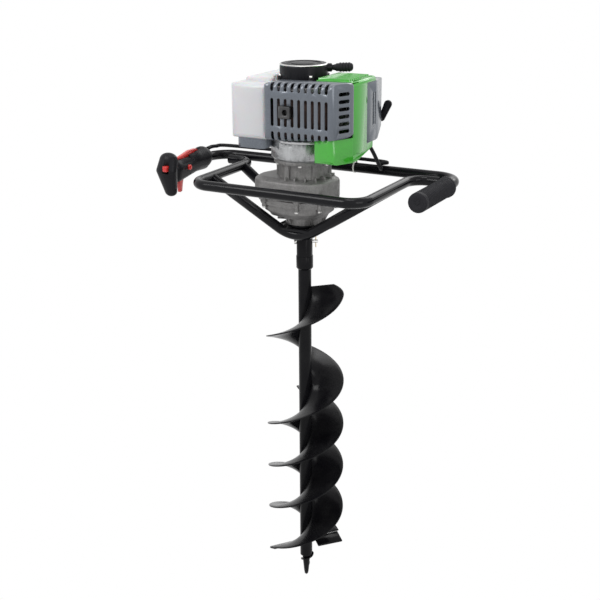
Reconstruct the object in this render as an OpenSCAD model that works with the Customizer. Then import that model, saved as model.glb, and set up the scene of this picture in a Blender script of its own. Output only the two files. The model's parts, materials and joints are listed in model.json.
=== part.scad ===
// Engine-driven earth auger: tube frame, gearbox, two-stroke engine and bit
// Millimetres, +Z up, front of the machine towards -Y
// The origin lies on the output axis, at the underside of the base plate

/* [Frame] */
// Outside diameter of the frame tubes
tube_d = 25; // [22:0.5:28]
// Wall of the frame tubes
tube_wall = 2; // [1.5:0.25:3]
// Half the distance between the two grips' axes
bar_half = 346; // [320:2:380]
// Distance of the rear bar behind the output axis
bar_y = 162; // [150:1:180]
// Height of the rear bar's axis
bar_z = 124; // [122:1:134]
// Distance of the grips' front ends before the output axis
bar_front = 104; // [90:1:120]
// Bend radius of the rear bar at the grips
bar_bend = 60; // [50:1:80]
// Half the width of the front loop
loop_half = 228; // [215:1:245]
// Distance of the front tube before the output axis
loop_front = 155; // [140:1:175]
// Height of the front loop's axis
loop_z = 116; // [112:1:122]
// Bend radius of the loop's corners
loop_bend = 45; // [38:1:55]
// Bend radius of the two braces under the gearbox
brace_bend = 90; // [70:5:110]
// Thickness of the base plate
plate_t = 6; // [4:0.5:8]
// Radius of the mounting ring on the base plate
ring_r = 42; // [38:0.5:45]
// Height of the mounting ring
ring_t = 7.5; // [5:0.5:10]

/* [Bit] */
// Diameter that the flights cut
flight_d = 200; // [120:5:240]
// Thickness of the flight plate
flight_t = 4; // [3:0.5:6]
// Drop of each flight in one turn
flight_lead = 245; // [230:1:260]
// Depth of the main flight's upper edge under the base plate
flight_top = 156; // [140:1:180]
// Turns of the main flight
flight_turns = 3.06; // [2.6:0.02:3.1]
// Turns of the main flight above the second flight's start
second_start = 1.24; // [1.1:0.02:1.4]
// Outside diameter of the bit's tube
bit_d = 33; // [30:0.5:36]
// Wall of the bit's tube
bit_wall = 3; // [2:0.25:4]
// Outside diameter of the sleeve
sleeve_d = 40; // [38:0.5:44]
// Depth of the sleeve's lower end
sleeve_low = 75; // [66:1:84]
// Depth of the collar's lower end
collar_low = 109; // [100:1:118]
// Diameter of the drive pin
pin_d = 8; // [6:0.5:10]
// Thickness of the cutter blades
blade_t = 5; // [4:0.5:6]
// Depth of the pilot point's tip
tip_low = 999; // [985:1:1015]

/* [Gearbox] */
// Diameter of the output shaft
shaft_d = 25; // [22:0.5:26]
// Teeth of the three pinions
pinion_teeth = 12; // [12:1:13]
// Teeth of the first, second and output gear
gear_teeth = [46, 38, 36];
// Modules of the three stages
gear_module = [1.75, 2, 2.25];
// Wall of the gearbox casting
case_wall = 6; // [5:0.5:7]
// Radius of the neck that carries the input shaft
neck_r = 62; // [58:1:66]

/* [Engine] */
// Radius of the clutch housing
bell_r = 80; // [78:0.5:84]
// Height of the clutch housing's lower face
bell_z = 175; // [170:1:180]
// Height of the clutch housing
bell_h = 45; // [42:1:50]
// Inner radius of the clutch drum
drum_r = 39; // [36:0.5:42]
// Gap between the resting shoes and the drum
shoe_gap = 1.5; // [1.3:0.1:2]
// Radius of the starter cover
starter_r = 62; // [58:0.5:64]
// Height of the starter cover's top
starter_top = 412; // [405:1:420]
// Wall of the sheet and moulded covers
cover_wall = 2.5; // [2:0.25:3.5]
// Number of slot columns in the guard's front
slot_columns = 9; // [6:1:9]
// Width of the guard's slots
slot_w = 6.5; // [4:0.5:8]
// Number of level slots in the guard's side
side_slots = 6; // [4:1:6]
// Number of cooling fins on the cylinder
fin_count = 9; // [6:1:9]

/* [Controls] */
// Radius of the right grip
grip_r = 23.5; // [21:0.5:25]
// Length of the right grip
grip_len = 176; // [150:1:185]
// Diameter of the conduit of the throttle cable and wires
conduit_d = 10; // [8:0.5:11]
// Play between pieces that move past each other
play = 0.5; // [0.4:0.1:0.8]

/* [Hidden] */
$fn = 64;

eps = 0.01;
fit = 0.05;
seat = 0.3;
chord = 7.5;
tube_r = tube_d / 2;
brace_z = 1 - tube_r;
brace_front_y = 42;
brace_rear_y = 50;
brace_front_end = 66;
brace_rear_end = 84;
loop_rear = bar_y - 0.96 * tube_d;
loop_out = 72;

head_y = -78;
bar_pts = [[-bar_half, head_y + 6, bar_z], [-bar_half, bar_y, bar_z],
  [bar_half, bar_y, bar_z], [bar_half, -bar_front, bar_z]];
loop_pts = [[-loop_half - loop_out, loop_rear, loop_z], [-loop_half, loop_rear, loop_z],
  [-loop_half, -loop_front, loop_z], [loop_half, -loop_front, loop_z],
  [loop_half, loop_rear, loop_z], [loop_half + loop_out, loop_rear, loop_z]];
brace_in = 3;
brace_end = [loop_half - brace_in, loop_z - brace_in / 2];
front_brace_y = [-brace_front_y, -brace_front_end];
rear_brace_y = [brace_rear_y, brace_rear_end];

ring_z = plate_t;
case_z = ring_z + ring_t;
plate_bolt_r = 34;
plate_bolt_d = 8;

// Gear train, in heights over the origin
floor_z = case_z + 30.5;
joint_z = floor_z + 26;
roof_z = joint_z + 34;
neck_z = roof_z + case_wall;
out_gear_z = [floor_z + 4, floor_z + 22];
second_z = [floor_z + 25, floor_z + 36];
first_z = [floor_z + 39, floor_z + 48];
stage_a = [for (i = [0:2]) gear_module[i] * (pinion_teeth + gear_teeth[i]) / 2];
first_angle = 195;
open_angle = acos((stage_a[0] * stage_a[0] + stage_a[2] * stage_a[2] - stage_a[1] * stage_a[1])
  / (2 * stage_a[0] * stage_a[2]));
second_angle = first_angle - open_angle;
first_at = stage_a[0] * [cos(first_angle), sin(first_angle)];
second_at = stage_a[2] * [cos(second_angle), sin(second_angle)];
link_angle = atan2(second_at.y - first_at.y, second_at.x - first_at.x);
tip = 0.9;
pressure = 25;
backlash = 0.16;
lay_d = 12;
lay_bearing = [lay_d, 32, 10];
out_bearing = [shaft_d, 47, 12];
in_d = 15;
in_bearing = [in_d, 35, 11];
first_case_r = gear_module[0] * (gear_teeth[0] / 2 + tip) + 3 + case_wall;
second_case_r = gear_module[1] * (gear_teeth[1] / 2 + tip) + 3 + case_wall;
case_r = 76;
outline = [[0, 0, case_r], [second_at.x, second_at.y, second_case_r],
  [first_at.x, first_at.y, first_case_r]];
rim = 5;
boss_r = 46;
case_bolt_d = 6;
bolt_out = 6.5;
case_bolts = [for (a = [-75, -35, 10, 55]) (case_r + bolt_out) * [cos(a), sin(a)],
  for (a = [95, 150]) second_at + (second_case_r + bolt_out) * [cos(a), sin(a)],
  for (a = [190, 240]) first_at + (first_case_r + bolt_out) * [cos(a), sin(a)]];

// Bit
bit_r = bit_d / 2;
flight_r = flight_d / 2;
turn_step = 5;
start_angle = 43;
flight_low = flight_top + flight_lead * flight_turns;
end_angle = start_angle - 360 * flight_turns;
pin_z = -38;
pin_angle = 28;
sleeve_top = 10;
hub_top = flight_low + 8;
hub_low = flight_low + 42;
blade_in = bit_r + 1.5;
blade_slope = 34;
blade_long = 34;
clip_r = 1.1;
clip_x = sleeve_d / 2 + 8;

// Engine
engine_axis_z = 262;
crank_d = 17;
bell_top = bell_z + bell_h;
crankcase_top = 300;
crankcase_r = 48;
throw = 16;
web_r = 30;
web_z = [engine_axis_z - 15, engine_axis_z + 15];
shoe_z = [bell_z + 14, bell_z + 29];
drum_z = bell_z + 9;
shoe_pivot = 27;
shoe_pin_d = 6;
fan_z = [crankcase_top + 6, crankcase_top + 40];
fan_r = 56;
shroud_r = 68;
shroud_top = 350;
reel_z = [starter_top - 44, starter_top - 28];
reel_r = 42;
pull_angle = 35;
pull_z = starter_top - 12;
rope_d = 5;
guard_x = [-45, 150];
guard_y = [-122, -60];
guard_z = [233, 371];
guard_round = 16;
cowl_x = 151;
cowl_low = 180;
filter_y = [28, 139];
filter_z = [203, 362];
cylinder_x = [52, 118];
cylinder_half = 40;
tank_x = [-150, -49];
tank_y = [-104, 104];
tank_z = [207, 358];
tank_round = 26;

// Controls
lever_pivot = [-bar_half, -38, bar_z + 19];
trigger_pivot = [-bar_half, -34, bar_z - 22];
conduit_r = conduit_d / 2;
conduit_y = bar_y;
conduit_z = bar_z + tube_r + conduit_r + 0.3;
tie_x = [-92, 60];

function unit(v) = v / norm(v);
function turn_at(p, i) = acos(unit(p[i] - p[i - 1]) * unit(p[i + 1] - p[i]));
function setback(p, i, r) = i == 0 || i == len(p) - 1 ? 0 : r * tan(turn_at(p, i) / 2);

// A round bar between two points
module rod(a, b, r) {
  v = b - a;
  translate(a) rotate([0, acos(v.z / norm(v)), atan2(v.y, v.x)]) cylinder(r = r, h = norm(v));
}

// A corner of a bent tube, revolved about the centre of its bend
module elbow(p, i, r, bend) {
  d = unit(p[i] - p[i - 1]);
  turn = turn_at(p, i);
  side = unit(unit(p[i + 1] - p[i]) - d * cos(turn));
  c = p[i] - d * bend * tan(turn / 2) + side * bend;
  up = cross(-side, d);
  multmatrix([[-side.x, d.x, up.x, c.x], [-side.y, d.y, up.y, c.y], [-side.z, d.z, up.z, c.z],
    [0, 0, 0, 1]])
    rotate_extrude(angle = turn) translate([bend, 0]) circle(r = r);
}

// A round bar along a route, with each corner bent to one radius
module bent_rod(p, r, bend) {
  for (i = [0:len(p) - 2]) {
    d = unit(p[i + 1] - p[i]);
    rod(p[i] + d * setback(p, i, bend), p[i + 1] - d * setback(p, i + 1, bend), r);
  }
  for (i = [1:len(p) - 2]) elbow(p, i, r, bend);
}

// A thin round bar along a route, with a ball a little thicker than the bar at each corner
module knuckled_rod(p, r) {
  for (i = [0:len(p) - 2]) rod(p[i], p[i + 1], r);
  for (i = [1:len(p) - 2]) translate(p[i]) sphere(r = 1.07 * r);
}

module bent_tube(p, d, wall, bend) {
  difference() {
    bent_rod(p, d / 2, bend);
    bent_rod(p, d / 2 - wall, bend);
  }
}

// Outline round a row of circles [x, y, r] given anticlockwise, its arcs in short chords
function tangent(a, b) = atan2(b.y - a.y, b.x - a.x)
  - acos((a[2] - b[2]) / norm([b.x - a.x, b.y - a.y]));
function arc(q, t0, t1) = let (s = (t1 - t0 + 720) % 360, n = max(1, ceil(s / chord)))
  [for (k = [0:n]) [q.x + q[2] * cos(t0 + s * k / n), q.y + q[2] * sin(t0 + s * k / n)]];
module wrap(c, grow = 0) {
  g = [for (q = c) [q.x, q.y, q[2] + grow]];
  n = len(g);
  polygon([for (i = [0:n - 1]) each arc(g[i], tangent(g[(i + n - 1) % n], g[i]),
    tangent(g[i], g[(i + 1) % n]))]);
}

module wrap_block(c, z0, z1, grow = 0) {
  translate([0, 0, z0]) linear_extrude(z1 - z0) wrap(c, grow);
}

module disc(z0, z1, r, at = [0, 0]) {
  translate([at.x, at.y, z0]) cylinder(r = r, h = z1 - z0);
}

module ring(z0, z1, r, bore, at = [0, 0]) {
  difference() {
    disc(z0, z1, r, at);
    disc(z0 - 1, z1 + 1, bore, at);
  }
}

// A rectangle with round corners, from its lowest to its highest corner
module round_rect(a, b, r) {
  translate([a.x + r, a.y]) square([b.x - a.x - 2 * r, b.y - a.y]);
  translate([a.x, a.y + r]) square([b.x - a.x, b.y - a.y - 2 * r]);
  for (x = [a.x + r, b.x - r], y = [a.y + r, b.y - r]) translate([x, y]) circle(r = r);
}

module block(a, b) {
  translate(a) cube(b - a);
}

// A block with round upright edges
module round_block(a, b, r) {
  translate([0, 0, a.z]) linear_extrude(b.z - a.z) round_rect([a.x, a.y], [b.x, b.y], r);
}

// A block with all of its outline rounded, seen from above and from the front
module soft_block(a, b, r_top, r_front) {
  intersection() {
    round_block(a, b, r_top);
    translate([0, b.y, 0]) rotate([90, 0, 0])
      linear_extrude(b.y - a.y) round_rect([a.x, a.z], [b.x, b.z], r_front);
  }
}

// A screw with a hexagon head, its axis along +Z from under the head
module hex_bolt(d, l, head) {
  cylinder(d = d, h = l);
  translate([0, 0, -head]) cylinder(d = 1.75 * d, h = head, $fn = 6);
}

// Gear teeth
function roll(r, base) = r <= base ? 0 : let (a = acos(base / r)) tan(a) * 180 / PI - a;
function flank(r, rp, base, teeth) = 90 / teeth - backlash / rp * 45 / PI
  + roll(rp, base) - roll(r, base);
module gear_outline(m, teeth, turn) {
  rp = m * teeth / 2;
  base = rp * cos(pressure);
  low = rp - 1.15 * m;
  high = rp + tip * m;
  radii = [low, max(base, low + 0.1), rp, high];
  rotate(turn) polygon([for (i = [0:teeth - 1]) each concat(
    [for (r = radii) r * [cos(i * 360 / teeth - flank(r, rp, base, teeth)),
      sin(i * 360 / teeth - flank(r, rp, base, teeth))]],
    [for (k = [3:-1:0]) radii[k] * [cos(i * 360 / teeth + flank(radii[k], rp, base, teeth)),
      sin(i * 360 / teeth + flank(radii[k], rp, base, teeth))]])]);
}
module toothed(m, teeth, z, turn) {
  translate([0, 0, z[0]]) linear_extrude(z[1] - z[0]) gear_outline(m, teeth, turn);
}

module ball_bearing(size, z0, at = [0, 0]) {
  ring(z0, z0 + size[2], size[1] / 2 - fit, size[0] / 2 + fit, at);
}

// Frame
module handlebar() color([0.09, 0.09, 0.1]) bent_tube(bar_pts, tube_d, tube_wall, bar_bend);

module front_loop() color([0.09, 0.09, 0.1]) difference() {
  bent_tube(loop_pts, tube_d, tube_wall, loop_bend);
  bent_rod(bar_pts, tube_r, bar_bend);
}

// Half of a brace, from its lowest point to the loop, its bend turned about an axis at the plane X = 0
module half_brace(y, wall, grow) {
  lean = unit([0, y[1] - y[0], brace_end.y - brace_z]);
  up = norm([y[1] - y[0], brace_end.y - brace_z]) - brace_bend;
  reach = norm([brace_end.x, up]);
  slope = 90 + atan2(up, brace_end.x) - acos(brace_bend / reach);
  out = [sin(slope), -cos(slope) * lean.y, -cos(slope) * lean.z];
  down = [-cos(slope), -sin(slope) * lean.y, -sin(slope) * lean.z];
  normal = cross(out, down);
  c = [0, y[0], brace_z] + brace_bend * lean;
  long = sqrt(reach * reach - brace_bend * brace_bend);
  intersection() {
    multmatrix([[out.x, down.x, normal.x, c.x], [out.y, down.y, normal.y, c.y],
      [out.z, down.z, normal.z, c.z], [0, 0, 0, 1]]) difference() {
        brace_form(slope, long, tube_r + grow);
        if (wall > 0) brace_form(slope, long, tube_r - wall);
      }
    block([0, -400, -100], [400, 400, 300]);
  }
}
module brace_form(slope, long, r) {
  rotate_extrude(angle = slope + 2) translate([brace_bend, 0]) circle(r = r);
  translate([brace_bend, 0, 0]) rotate([90, 0, 0]) cylinder(r = r, h = long);
}
module full_brace(y, wall = 0, grow = 0) {
  half_brace(y, wall, grow);
  mirror([1, 0, 0]) half_brace(y, wall, grow);
}
module brace(y) {
  difference() {
    full_brace(y, tube_wall);
    for (x = [-loop_half, loop_half]) rod([x, -loop_front, loop_z], [x, loop_rear, loop_z], tube_r);
  }
}
module front_brace() color([0.09, 0.09, 0.1]) brace(front_brace_y);
module rear_brace() color([0.09, 0.09, 0.1]) brace(rear_brace_y);

module plate_holes(z0, z1, r) {
  for (a = [45:90:315]) disc(z0, z1, r, plate_bolt_r * [cos(a), sin(a)]);
}

module base_plate() color([0.1, 0.1, 0.11]) difference() {
  round_block([-62, -brace_front_y - 12, 0], [62, brace_rear_y + 12, plate_t], 14);
  disc(-1, plate_t + 1, shaft_d / 2 + 5);
  plate_holes(-1, plate_t + 1, plate_bolt_d / 2);
  full_brace(front_brace_y);
  full_brace(rear_brace_y);
}

module mounting_ring() color([0.12, 0.12, 0.13]) difference() {
  union() {
    disc(ring_z, case_z - 2, ring_r);
    translate([0, 0, case_z - 2]) cylinder(r1 = ring_r, r2 = ring_r - 2, h = 2);
  }
  disc(ring_z - 1, case_z + 1, shaft_d / 2 + 5);
  plate_holes(ring_z - 1, case_z + 1, plate_bolt_d / 2);
}

module plate_bolts() color([0.75, 0.76, 0.78]) for (a = [45:90:315])
  translate([plate_bolt_r * cos(a), plate_bolt_r * sin(a), 0])
    hex_bolt(plate_bolt_d, case_z + 14, 5.3);

// Bit
module bit_tube() color([0.08, 0.08, 0.09])
  ring(-hub_top, -sleeve_low - 2, bit_r, bit_r - bit_wall);

module bit_socket() color([0.08, 0.08, 0.09]) difference() {
  union() {
    disc(-sleeve_low, -sleeve_top, sleeve_d / 2);
    disc(-collar_low + 4, -sleeve_low, sleeve_d / 2 + 1.2);
    translate([0, 0, -collar_low]) cylinder(r1 = sleeve_d / 2 - 2, r2 = sleeve_d / 2 + 1.2, h = 4);
  }
  disc(-sleeve_low + 2, 0, shaft_d / 2 + fit);
  disc(-collar_low - 1, -sleeve_low - 2, bit_r + fit);
  drive_pin_bore();
}

module drive_pin_bore() {
  translate([0, 0, pin_z]) rotate([0, 90, pin_angle])
    cylinder(d = pin_d + 2 * fit, h = 2 * sleeve_d, center = true);
}

// A flight: one ring of four corners each step, from turn t0 to t1
function edge_r(t, t0) = flight_r - 24 * pow(max(0, 1 - (t - t0) * 14), 2);
function flight_ring(t, t0, shift) = let (a = start_angle + shift - 360 * t,
  z = -flight_top - flight_lead * t, out = edge_r(t, t0))
  [[(bit_r + fit) * cos(a), (bit_r + fit) * sin(a), z], [out * cos(a), out * sin(a), z],
   [out * cos(a), out * sin(a), z - flight_t],
   [(bit_r + fit) * cos(a), (bit_r + fit) * sin(a), z - flight_t]];
module flight(t0, shift) {
  n = ceil((flight_turns - t0) * 360 / turn_step);
  pts = [for (i = [0:n]) each flight_ring(t0 + (flight_turns - t0) * i / n, t0, shift)];
  polyhedron(pts, concat([[3, 2, 1, 0]],
    [for (i = [0:n - 1], k = [0:3]) each let (a = 4 * i + k, b = 4 * i + (k + 1) % 4)
      k < 2 ? [[a, b, b + 4], [a, b + 4, a + 4]] : [[a, b, a + 4], [b, b + 4, a + 4]]],
    [[4 * n, 4 * n + 1, 4 * n + 2, 4 * n + 3]]), convexity = 10);
}
module main_flight() color([0.07, 0.07, 0.08]) flight(0, 0);
module second_flight() color([0.07, 0.07, 0.08]) flight(second_start, 180);

// Each blade reaches down and forward from the end of its flight
module blade(turn) {
  rotate(turn) translate([0, 0, -flight_low - flight_t - 0.2]) rotate([blade_slope, 0, 0])
    translate([blade_in, -blade_long, -blade_t]) difference() {
      cube([flight_r + 2 - blade_in, blade_long, blade_t]);
      rotate([-30, 0, 0]) translate([-1, -20, -20]) cube([flight_r, 40, 20]);
    }
}
module cutter_blades() color([0.13, 0.13, 0.14]) difference() {
  for (s = [0, 180]) blade(end_angle + s);
  disc(-hub_low - 20, -flight_top, bit_r + fit);
}

module pilot_point() color([0.09, 0.09, 0.1]) {
  disc(-hub_low, -hub_top, bit_r);
  translate([0, 0, -hub_low - 28]) cylinder(r1 = 5, r2 = 8, h = 28);
  translate([0, 0, -tip_low]) cylinder(r1 = 0.6, r2 = 5, h = tip_low - hub_low - 28);
  for (k = [0:2]) translate([0, 0, -hub_low - 6 - 9 * k])
    cylinder(r1 = 17 - 3 * k, r2 = 14 - 3 * k, h = 3);
}

module drive_pin() color([0.5, 0.5, 0.52]) translate([0, 0, pin_z]) rotate([0, 90, pin_angle])
  difference() {
    union() {
      translate([0, 0, -sleeve_d / 2 - 3]) cylinder(d = pin_d, h = sleeve_d + 16);
      translate([0, 0, -sleeve_d / 2 - 6]) cylinder(d = pin_d + 6, h = 5.7);
    }
    translate([0, 0, clip_x]) rotate([0, 90, 0]) cylinder(r = clip_r + fit, h = 40, center = true);
  }

module r_clip($fn = 10) color([0.72, 0.58, 0.28]) translate([0, 0, pin_z]) rotate([0, 0, pin_angle])
  translate([clip_x, 0, 0])
    knuckled_rod([[0, 0, -14], [0, 0, 12], [0, 2, 15], [0, 5.5, 15.5], [0, 7.5, 12], [0, 6.2, 4],
      [0, 6.2, -4], [0, 3.5, -10], [0, 7, -17]], clip_r);

// Gearbox
module output_shaft() color([0.7, 0.7, 0.72]) difference() {
  union() {
    disc(-sleeve_low + 3, out_gear_z[1] + 3, shaft_d / 2);
    disc(out_gear_z[0] - 3, out_gear_z[0] - 0.2, shaft_d / 2 + 3);
  }
  drive_pin_bore();
}

module output_gear() color([0.6, 0.6, 0.62]) difference() {
  toothed(gear_module[2], gear_teeth[2], out_gear_z,
    second_angle + 180 / gear_teeth[2]);
  disc(0, 200, shaft_d / 2 + fit);
  for (a = [0:60:300]) disc(0, 200, 5, 26 * [cos(a), sin(a)]);
}

module second_layshaft() color([0.62, 0.62, 0.64]) translate([second_at.x, second_at.y, 0]) {
  disc(floor_z - lay_bearing[2], roof_z, lay_d / 2);
  toothed(gear_module[2], pinion_teeth, out_gear_z, second_angle + 180);
  toothed(gear_module[1], gear_teeth[1], second_z, link_angle + 180 + 180 / gear_teeth[1]);
}

module first_layshaft() color([0.62, 0.62, 0.64]) translate([first_at.x, first_at.y, 0]) {
  disc(floor_z - lay_bearing[2], roof_z, lay_d / 2);
  toothed(gear_module[1], pinion_teeth, second_z, link_angle);
  toothed(gear_module[0], gear_teeth[0], first_z, first_angle + 180 + 180 / gear_teeth[0]);
}

module input_pinion() color([0.62, 0.62, 0.64]) {
  disc(first_z[0], drum_z - seat, in_d / 2);
  toothed(gear_module[0], pinion_teeth, first_z, first_angle);
}

module shaft_bearings() color([0.66, 0.66, 0.68]) {
  ball_bearing(out_bearing, case_z + 6.5);
  ball_bearing(out_bearing, floor_z - out_bearing[2]);
  for (p = [first_at, second_at]) {
    ball_bearing(lay_bearing, floor_z - lay_bearing[2], p);
    ball_bearing(lay_bearing, roof_z - lay_bearing[2], p);
  }
  ball_bearing(in_bearing, neck_z - in_bearing[2] - 1);
  ball_bearing(in_bearing, bell_z - in_bearing[2] - 5);
}

module shaft_seals() color([0.1, 0.1, 0.1]) {
  ring(case_z, case_z + 6, 20 - fit, shaft_d / 2 + fit);
  ring(bell_z - 5, bell_z, in_bearing[1] / 2 - fit, in_d / 2 + fit);
}

module gearbox_cover() color([0.55, 0.55, 0.57]) difference() {
  union() {
    disc(case_z, floor_z, boss_r);
    wrap_block(outline, floor_z - case_wall, joint_z);
    translate([0, 0, floor_z - 2 * case_wall]) linear_extrude(case_wall) wrap(outline, -case_wall);
    wrap_block(outline, joint_z - 8, joint_z, rim);
    for (p = [first_at, second_at]) disc(floor_z - 15, floor_z, 21, p);
    for (b = case_bolts) disc(joint_z - 12, joint_z, case_bolt_d, b);
    for (a = [15:60:315]) rotate(a) block([boss_r - 6, -3, case_z + 4], [case_r - 8, 3, floor_z]);
  }
  wrap_block(outline, floor_z, joint_z + 1, -case_wall);
  disc(0, floor_z, out_bearing[0] / 2 + 4);
  disc(case_z - 1, case_z + 6, 20);
  disc(case_z + 6.5, case_z + 6.5 + out_bearing[2], out_bearing[1] / 2);
  disc(floor_z - out_bearing[2], floor_z + 1, out_bearing[1] / 2);
  for (p = [first_at, second_at]) disc(floor_z - lay_bearing[2], floor_z + 1, lay_bearing[1] / 2, p);
  for (b = case_bolts) disc(joint_z - 20, joint_z + 1, case_bolt_d / 2 + fit, b);
  plate_holes(case_z - 1, case_z + 15, plate_bolt_d / 2);
  full_brace(front_brace_y, grow = 1.5);
  full_brace(rear_brace_y, grow = 1.5);
}

module gearbox_housing() color([0.55, 0.55, 0.57]) difference() {
  union() {
    wrap_block(outline, joint_z, neck_z);
    wrap_block(outline, joint_z, joint_z + 8, rim);
    for (b = case_bolts) disc(joint_z, joint_z + 12, case_bolt_d, b);
    disc(neck_z, bell_z, neck_r);
    disc(neck_z, neck_z + 6, neck_r + 6);
    disc(bell_z - 8, bell_z, bell_r - 7);
    for (a = [20:60:320]) rotate(a) block([neck_r - 6, -5, neck_z + 4], [neck_r + 5, 5, bell_z - 4]);
  }
  difference() {
    wrap_block(outline, joint_z - 1, roof_z, -case_wall);
    for (p = [first_at, second_at]) disc(roof_z - lay_bearing[2] - 0.5, roof_z + 1, 20, p);
    disc(neck_z - in_bearing[2] - 4, roof_z + 1, 21);
  }
  for (p = [first_at, second_at]) disc(roof_z - lay_bearing[2] - 1, roof_z, lay_bearing[1] / 2, p);
  disc(neck_z - in_bearing[2] - 1, neck_z - 1, in_bearing[1] / 2);
  disc(joint_z, bell_z, in_d / 2 + 3);
  ring(neck_z + 5, bell_z - in_bearing[2] - 12, neck_r - 7, in_d / 2 + 8);
  disc(bell_z - in_bearing[2] - 5, bell_z + 1, in_bearing[1] / 2);
  for (b = case_bolts) disc(joint_z - 1, joint_z + 20, case_bolt_d / 2 + fit, b);
  for (a = [50:60:350]) disc(bell_z - 20, bell_z + 1, 3 + fit, (bell_r - 12) * [cos(a), sin(a)]);
}

module gearbox_bolts() color([0.78, 0.79, 0.8]) {
  for (b = case_bolts) translate([b.x, b.y, joint_z - 12]) hex_bolt(case_bolt_d, 22, 4);
  for (a = [50:60:350]) rotate(a) translate([bell_r - 12, 0, bell_z - 8]) hex_bolt(6, 14, 4);
}

// Clutch
module clutch_housing() color([0.8, 0.8, 0.82]) difference() {
  union() {
    translate([0, 0, bell_z]) cylinder(r1 = bell_r - 7, r2 = bell_r, h = 7);
    disc(bell_z + 7, bell_top, bell_r);
  }
  disc(bell_z + 5, bell_top + 1, bell_r - 6);
  disc(bell_z - 1, bell_z + 6, 24);
  for (a = [50:60:350]) disc(bell_z - 1, bell_z + 6, 3 + fit, (bell_r - 12) * [cos(a), sin(a)]);
}

module clutch_drum() color([0.6, 0.6, 0.62]) difference() {
  disc(drum_z, shoe_z[1] + 1, drum_r + 2.5);
  disc(shoe_z[0] - 1.5, shoe_z[1] + 2, drum_r);
}

module clutch_hub() color([0.5, 0.5, 0.52]) difference() {
  union() {
    disc(shoe_z[1] + 1.5, shoe_z[1] + 6, shoe_pivot + 5);
    disc(shoe_z[0] + 1, shoe_z[1] + 2, 13);
    for (s = [0, 180]) rotate(s) disc(shoe_z[0], shoe_z[1] + 2, shoe_pin_d / 2, [shoe_pivot, 0]);
  }
  disc(shoe_z[0], shoe_z[1] + 7, crank_d / 2 + fit);
}

module shoe(turn) {
  out = drum_r - shoe_gap;
  rotate(turn) difference() {
    intersection() {
      ring(shoe_z[0], shoe_z[1], out, 18);
      translate([0, 0, shoe_z[0] - 1]) linear_extrude(40)
        polygon([[16, -6], [60, -9], [60, 60], [-60, 60], [-60, 20], [-16, 5]]);
    }
    disc(shoe_z[0] - 1, shoe_z[1] + 1, shoe_pin_d / 2 + fit, [shoe_pivot, 0]);
    block([-45, -20, shoe_z[0] - 1], [-15, 10, shoe_z[1] + 1]);
  }
}
module front_shoe() color([0.45, 0.42, 0.4]) shoe(180);
module rear_shoe() color([0.45, 0.42, 0.4]) shoe(0);

// Engine
module crankcase() color([0.72, 0.72, 0.74]) difference() {
  union() {
    disc(bell_top, bell_top + 7, bell_r);
    disc(bell_top, crankcase_top, crankcase_r);
    round_block([20, -36, bell_top], [cylinder_x[0], 36, crankcase_top], 4);
    disc(crankcase_top - 5, crankcase_top, shroud_r);
    ring(crankcase_top, shroud_top, shroud_r, shroud_r - 4);
    disc(shroud_top - 5, shroud_top, shroud_r);
    block([tank_x[1], -30, bell_top + 8], [-crankcase_r + 12, 30, crankcase_top - 8]);
  }
  disc(crankcase_top - 1, shroud_top - 5, shroud_r - 4);
  disc(shroud_top - 6, shroud_top + 1, starter_r - 14);
  disc(web_z[0] - 3, web_z[1] + 3, web_r + 4);
  disc(bell_top - 1, crankcase_top + 1, crank_d / 2 + fit);
  disc(bell_top - 1, bell_top + 5, bell_r - 14);
}

module crankshaft() color([0.6, 0.6, 0.62]) difference() {
  union() {
    disc(shoe_z[0] + 2, reel_z[0] - 3, crank_d / 2);
    disc(web_z[0], web_z[0] + 9, web_r);
    disc(web_z[1] - 9, web_z[1], web_r);
    disc(web_z[0], web_z[1], 9, [throw, 0]);
  }
  difference() {
    disc(web_z[0] + 9, web_z[1] - 9, crank_d / 2 + 1);
    disc(web_z[0], web_z[1], 9, [throw, 0]);
  }
}

module flywheel() color([0.66, 0.67, 0.69]) difference() {
  union() {
    disc(fan_z[0], fan_z[0] + 8, fan_r);
    disc(fan_z[0], fan_z[1] - 8, 20);
    for (i = [0:13]) rotate(i * 360 / 14) translate([22, 0, fan_z[0] + 7]) rotate([0, 0, 24])
      cube([28, 2.4, fan_z[1] - fan_z[0] - 16]);
  }
  disc(fan_z[0] - 1, fan_z[1] + 1, crank_d / 2 + fit);
}

module cylinder_body() {
  translate([cylinder_x[0], 0, engine_axis_z]) rotate([0, 90, 0]) {
    cylinder(r = 29, h = cylinder_x[1] - cylinder_x[0]);
    linear_extrude(6) round_rect([-31, -34], [33, 34], 8);
    for (i = [0:fin_count - 1]) translate([0, 0, 12 + 6.2 * i]) linear_extrude(2.2)
      round_rect([-32, -cylinder_half], [34, cylinder_half], 10);
  }
  block([70, muffler_back, engine_axis_z - 15], [100, -20, engine_axis_z + 15]);
  block([70, 20, engine_axis_z - 16], [100, 48, engine_axis_z + 16]);
}
module cylinder_node() color([0.7, 0.7, 0.72]) difference() {
  cylinder_body();
  translate([cylinder_x[1] - 14, 0, engine_axis_z]) rotate([0, 90, 0]) cylinder(r = 7, h = 20);
}

module spark_plug() color([0.9, 0.9, 0.88])
  translate([cylinder_x[1], 0, engine_axis_z]) rotate([0, 90, 0]) {
    translate([0, 0, -14]) cylinder(r = 7 - fit, h = 14);
    cylinder(r = 10, h = 6, $fn = 6);
    translate([0, 0, 6]) cylinder(r = 5, h = 16);
  }

module plug_cap() color([0.1, 0.1, 0.1])
  translate([cylinder_x[1] + 9, 0, engine_axis_z]) rotate([0, 90, 0]) difference() {
    union() {
      cylinder(r = 9, h = 17);
      rotate([0, -90, 0]) translate([9, 0, 0]) cylinder(r = 6, h = 24);
    }
    translate([0, 0, -1]) cylinder(r = 5 + fit, h = 15);
  }

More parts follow.
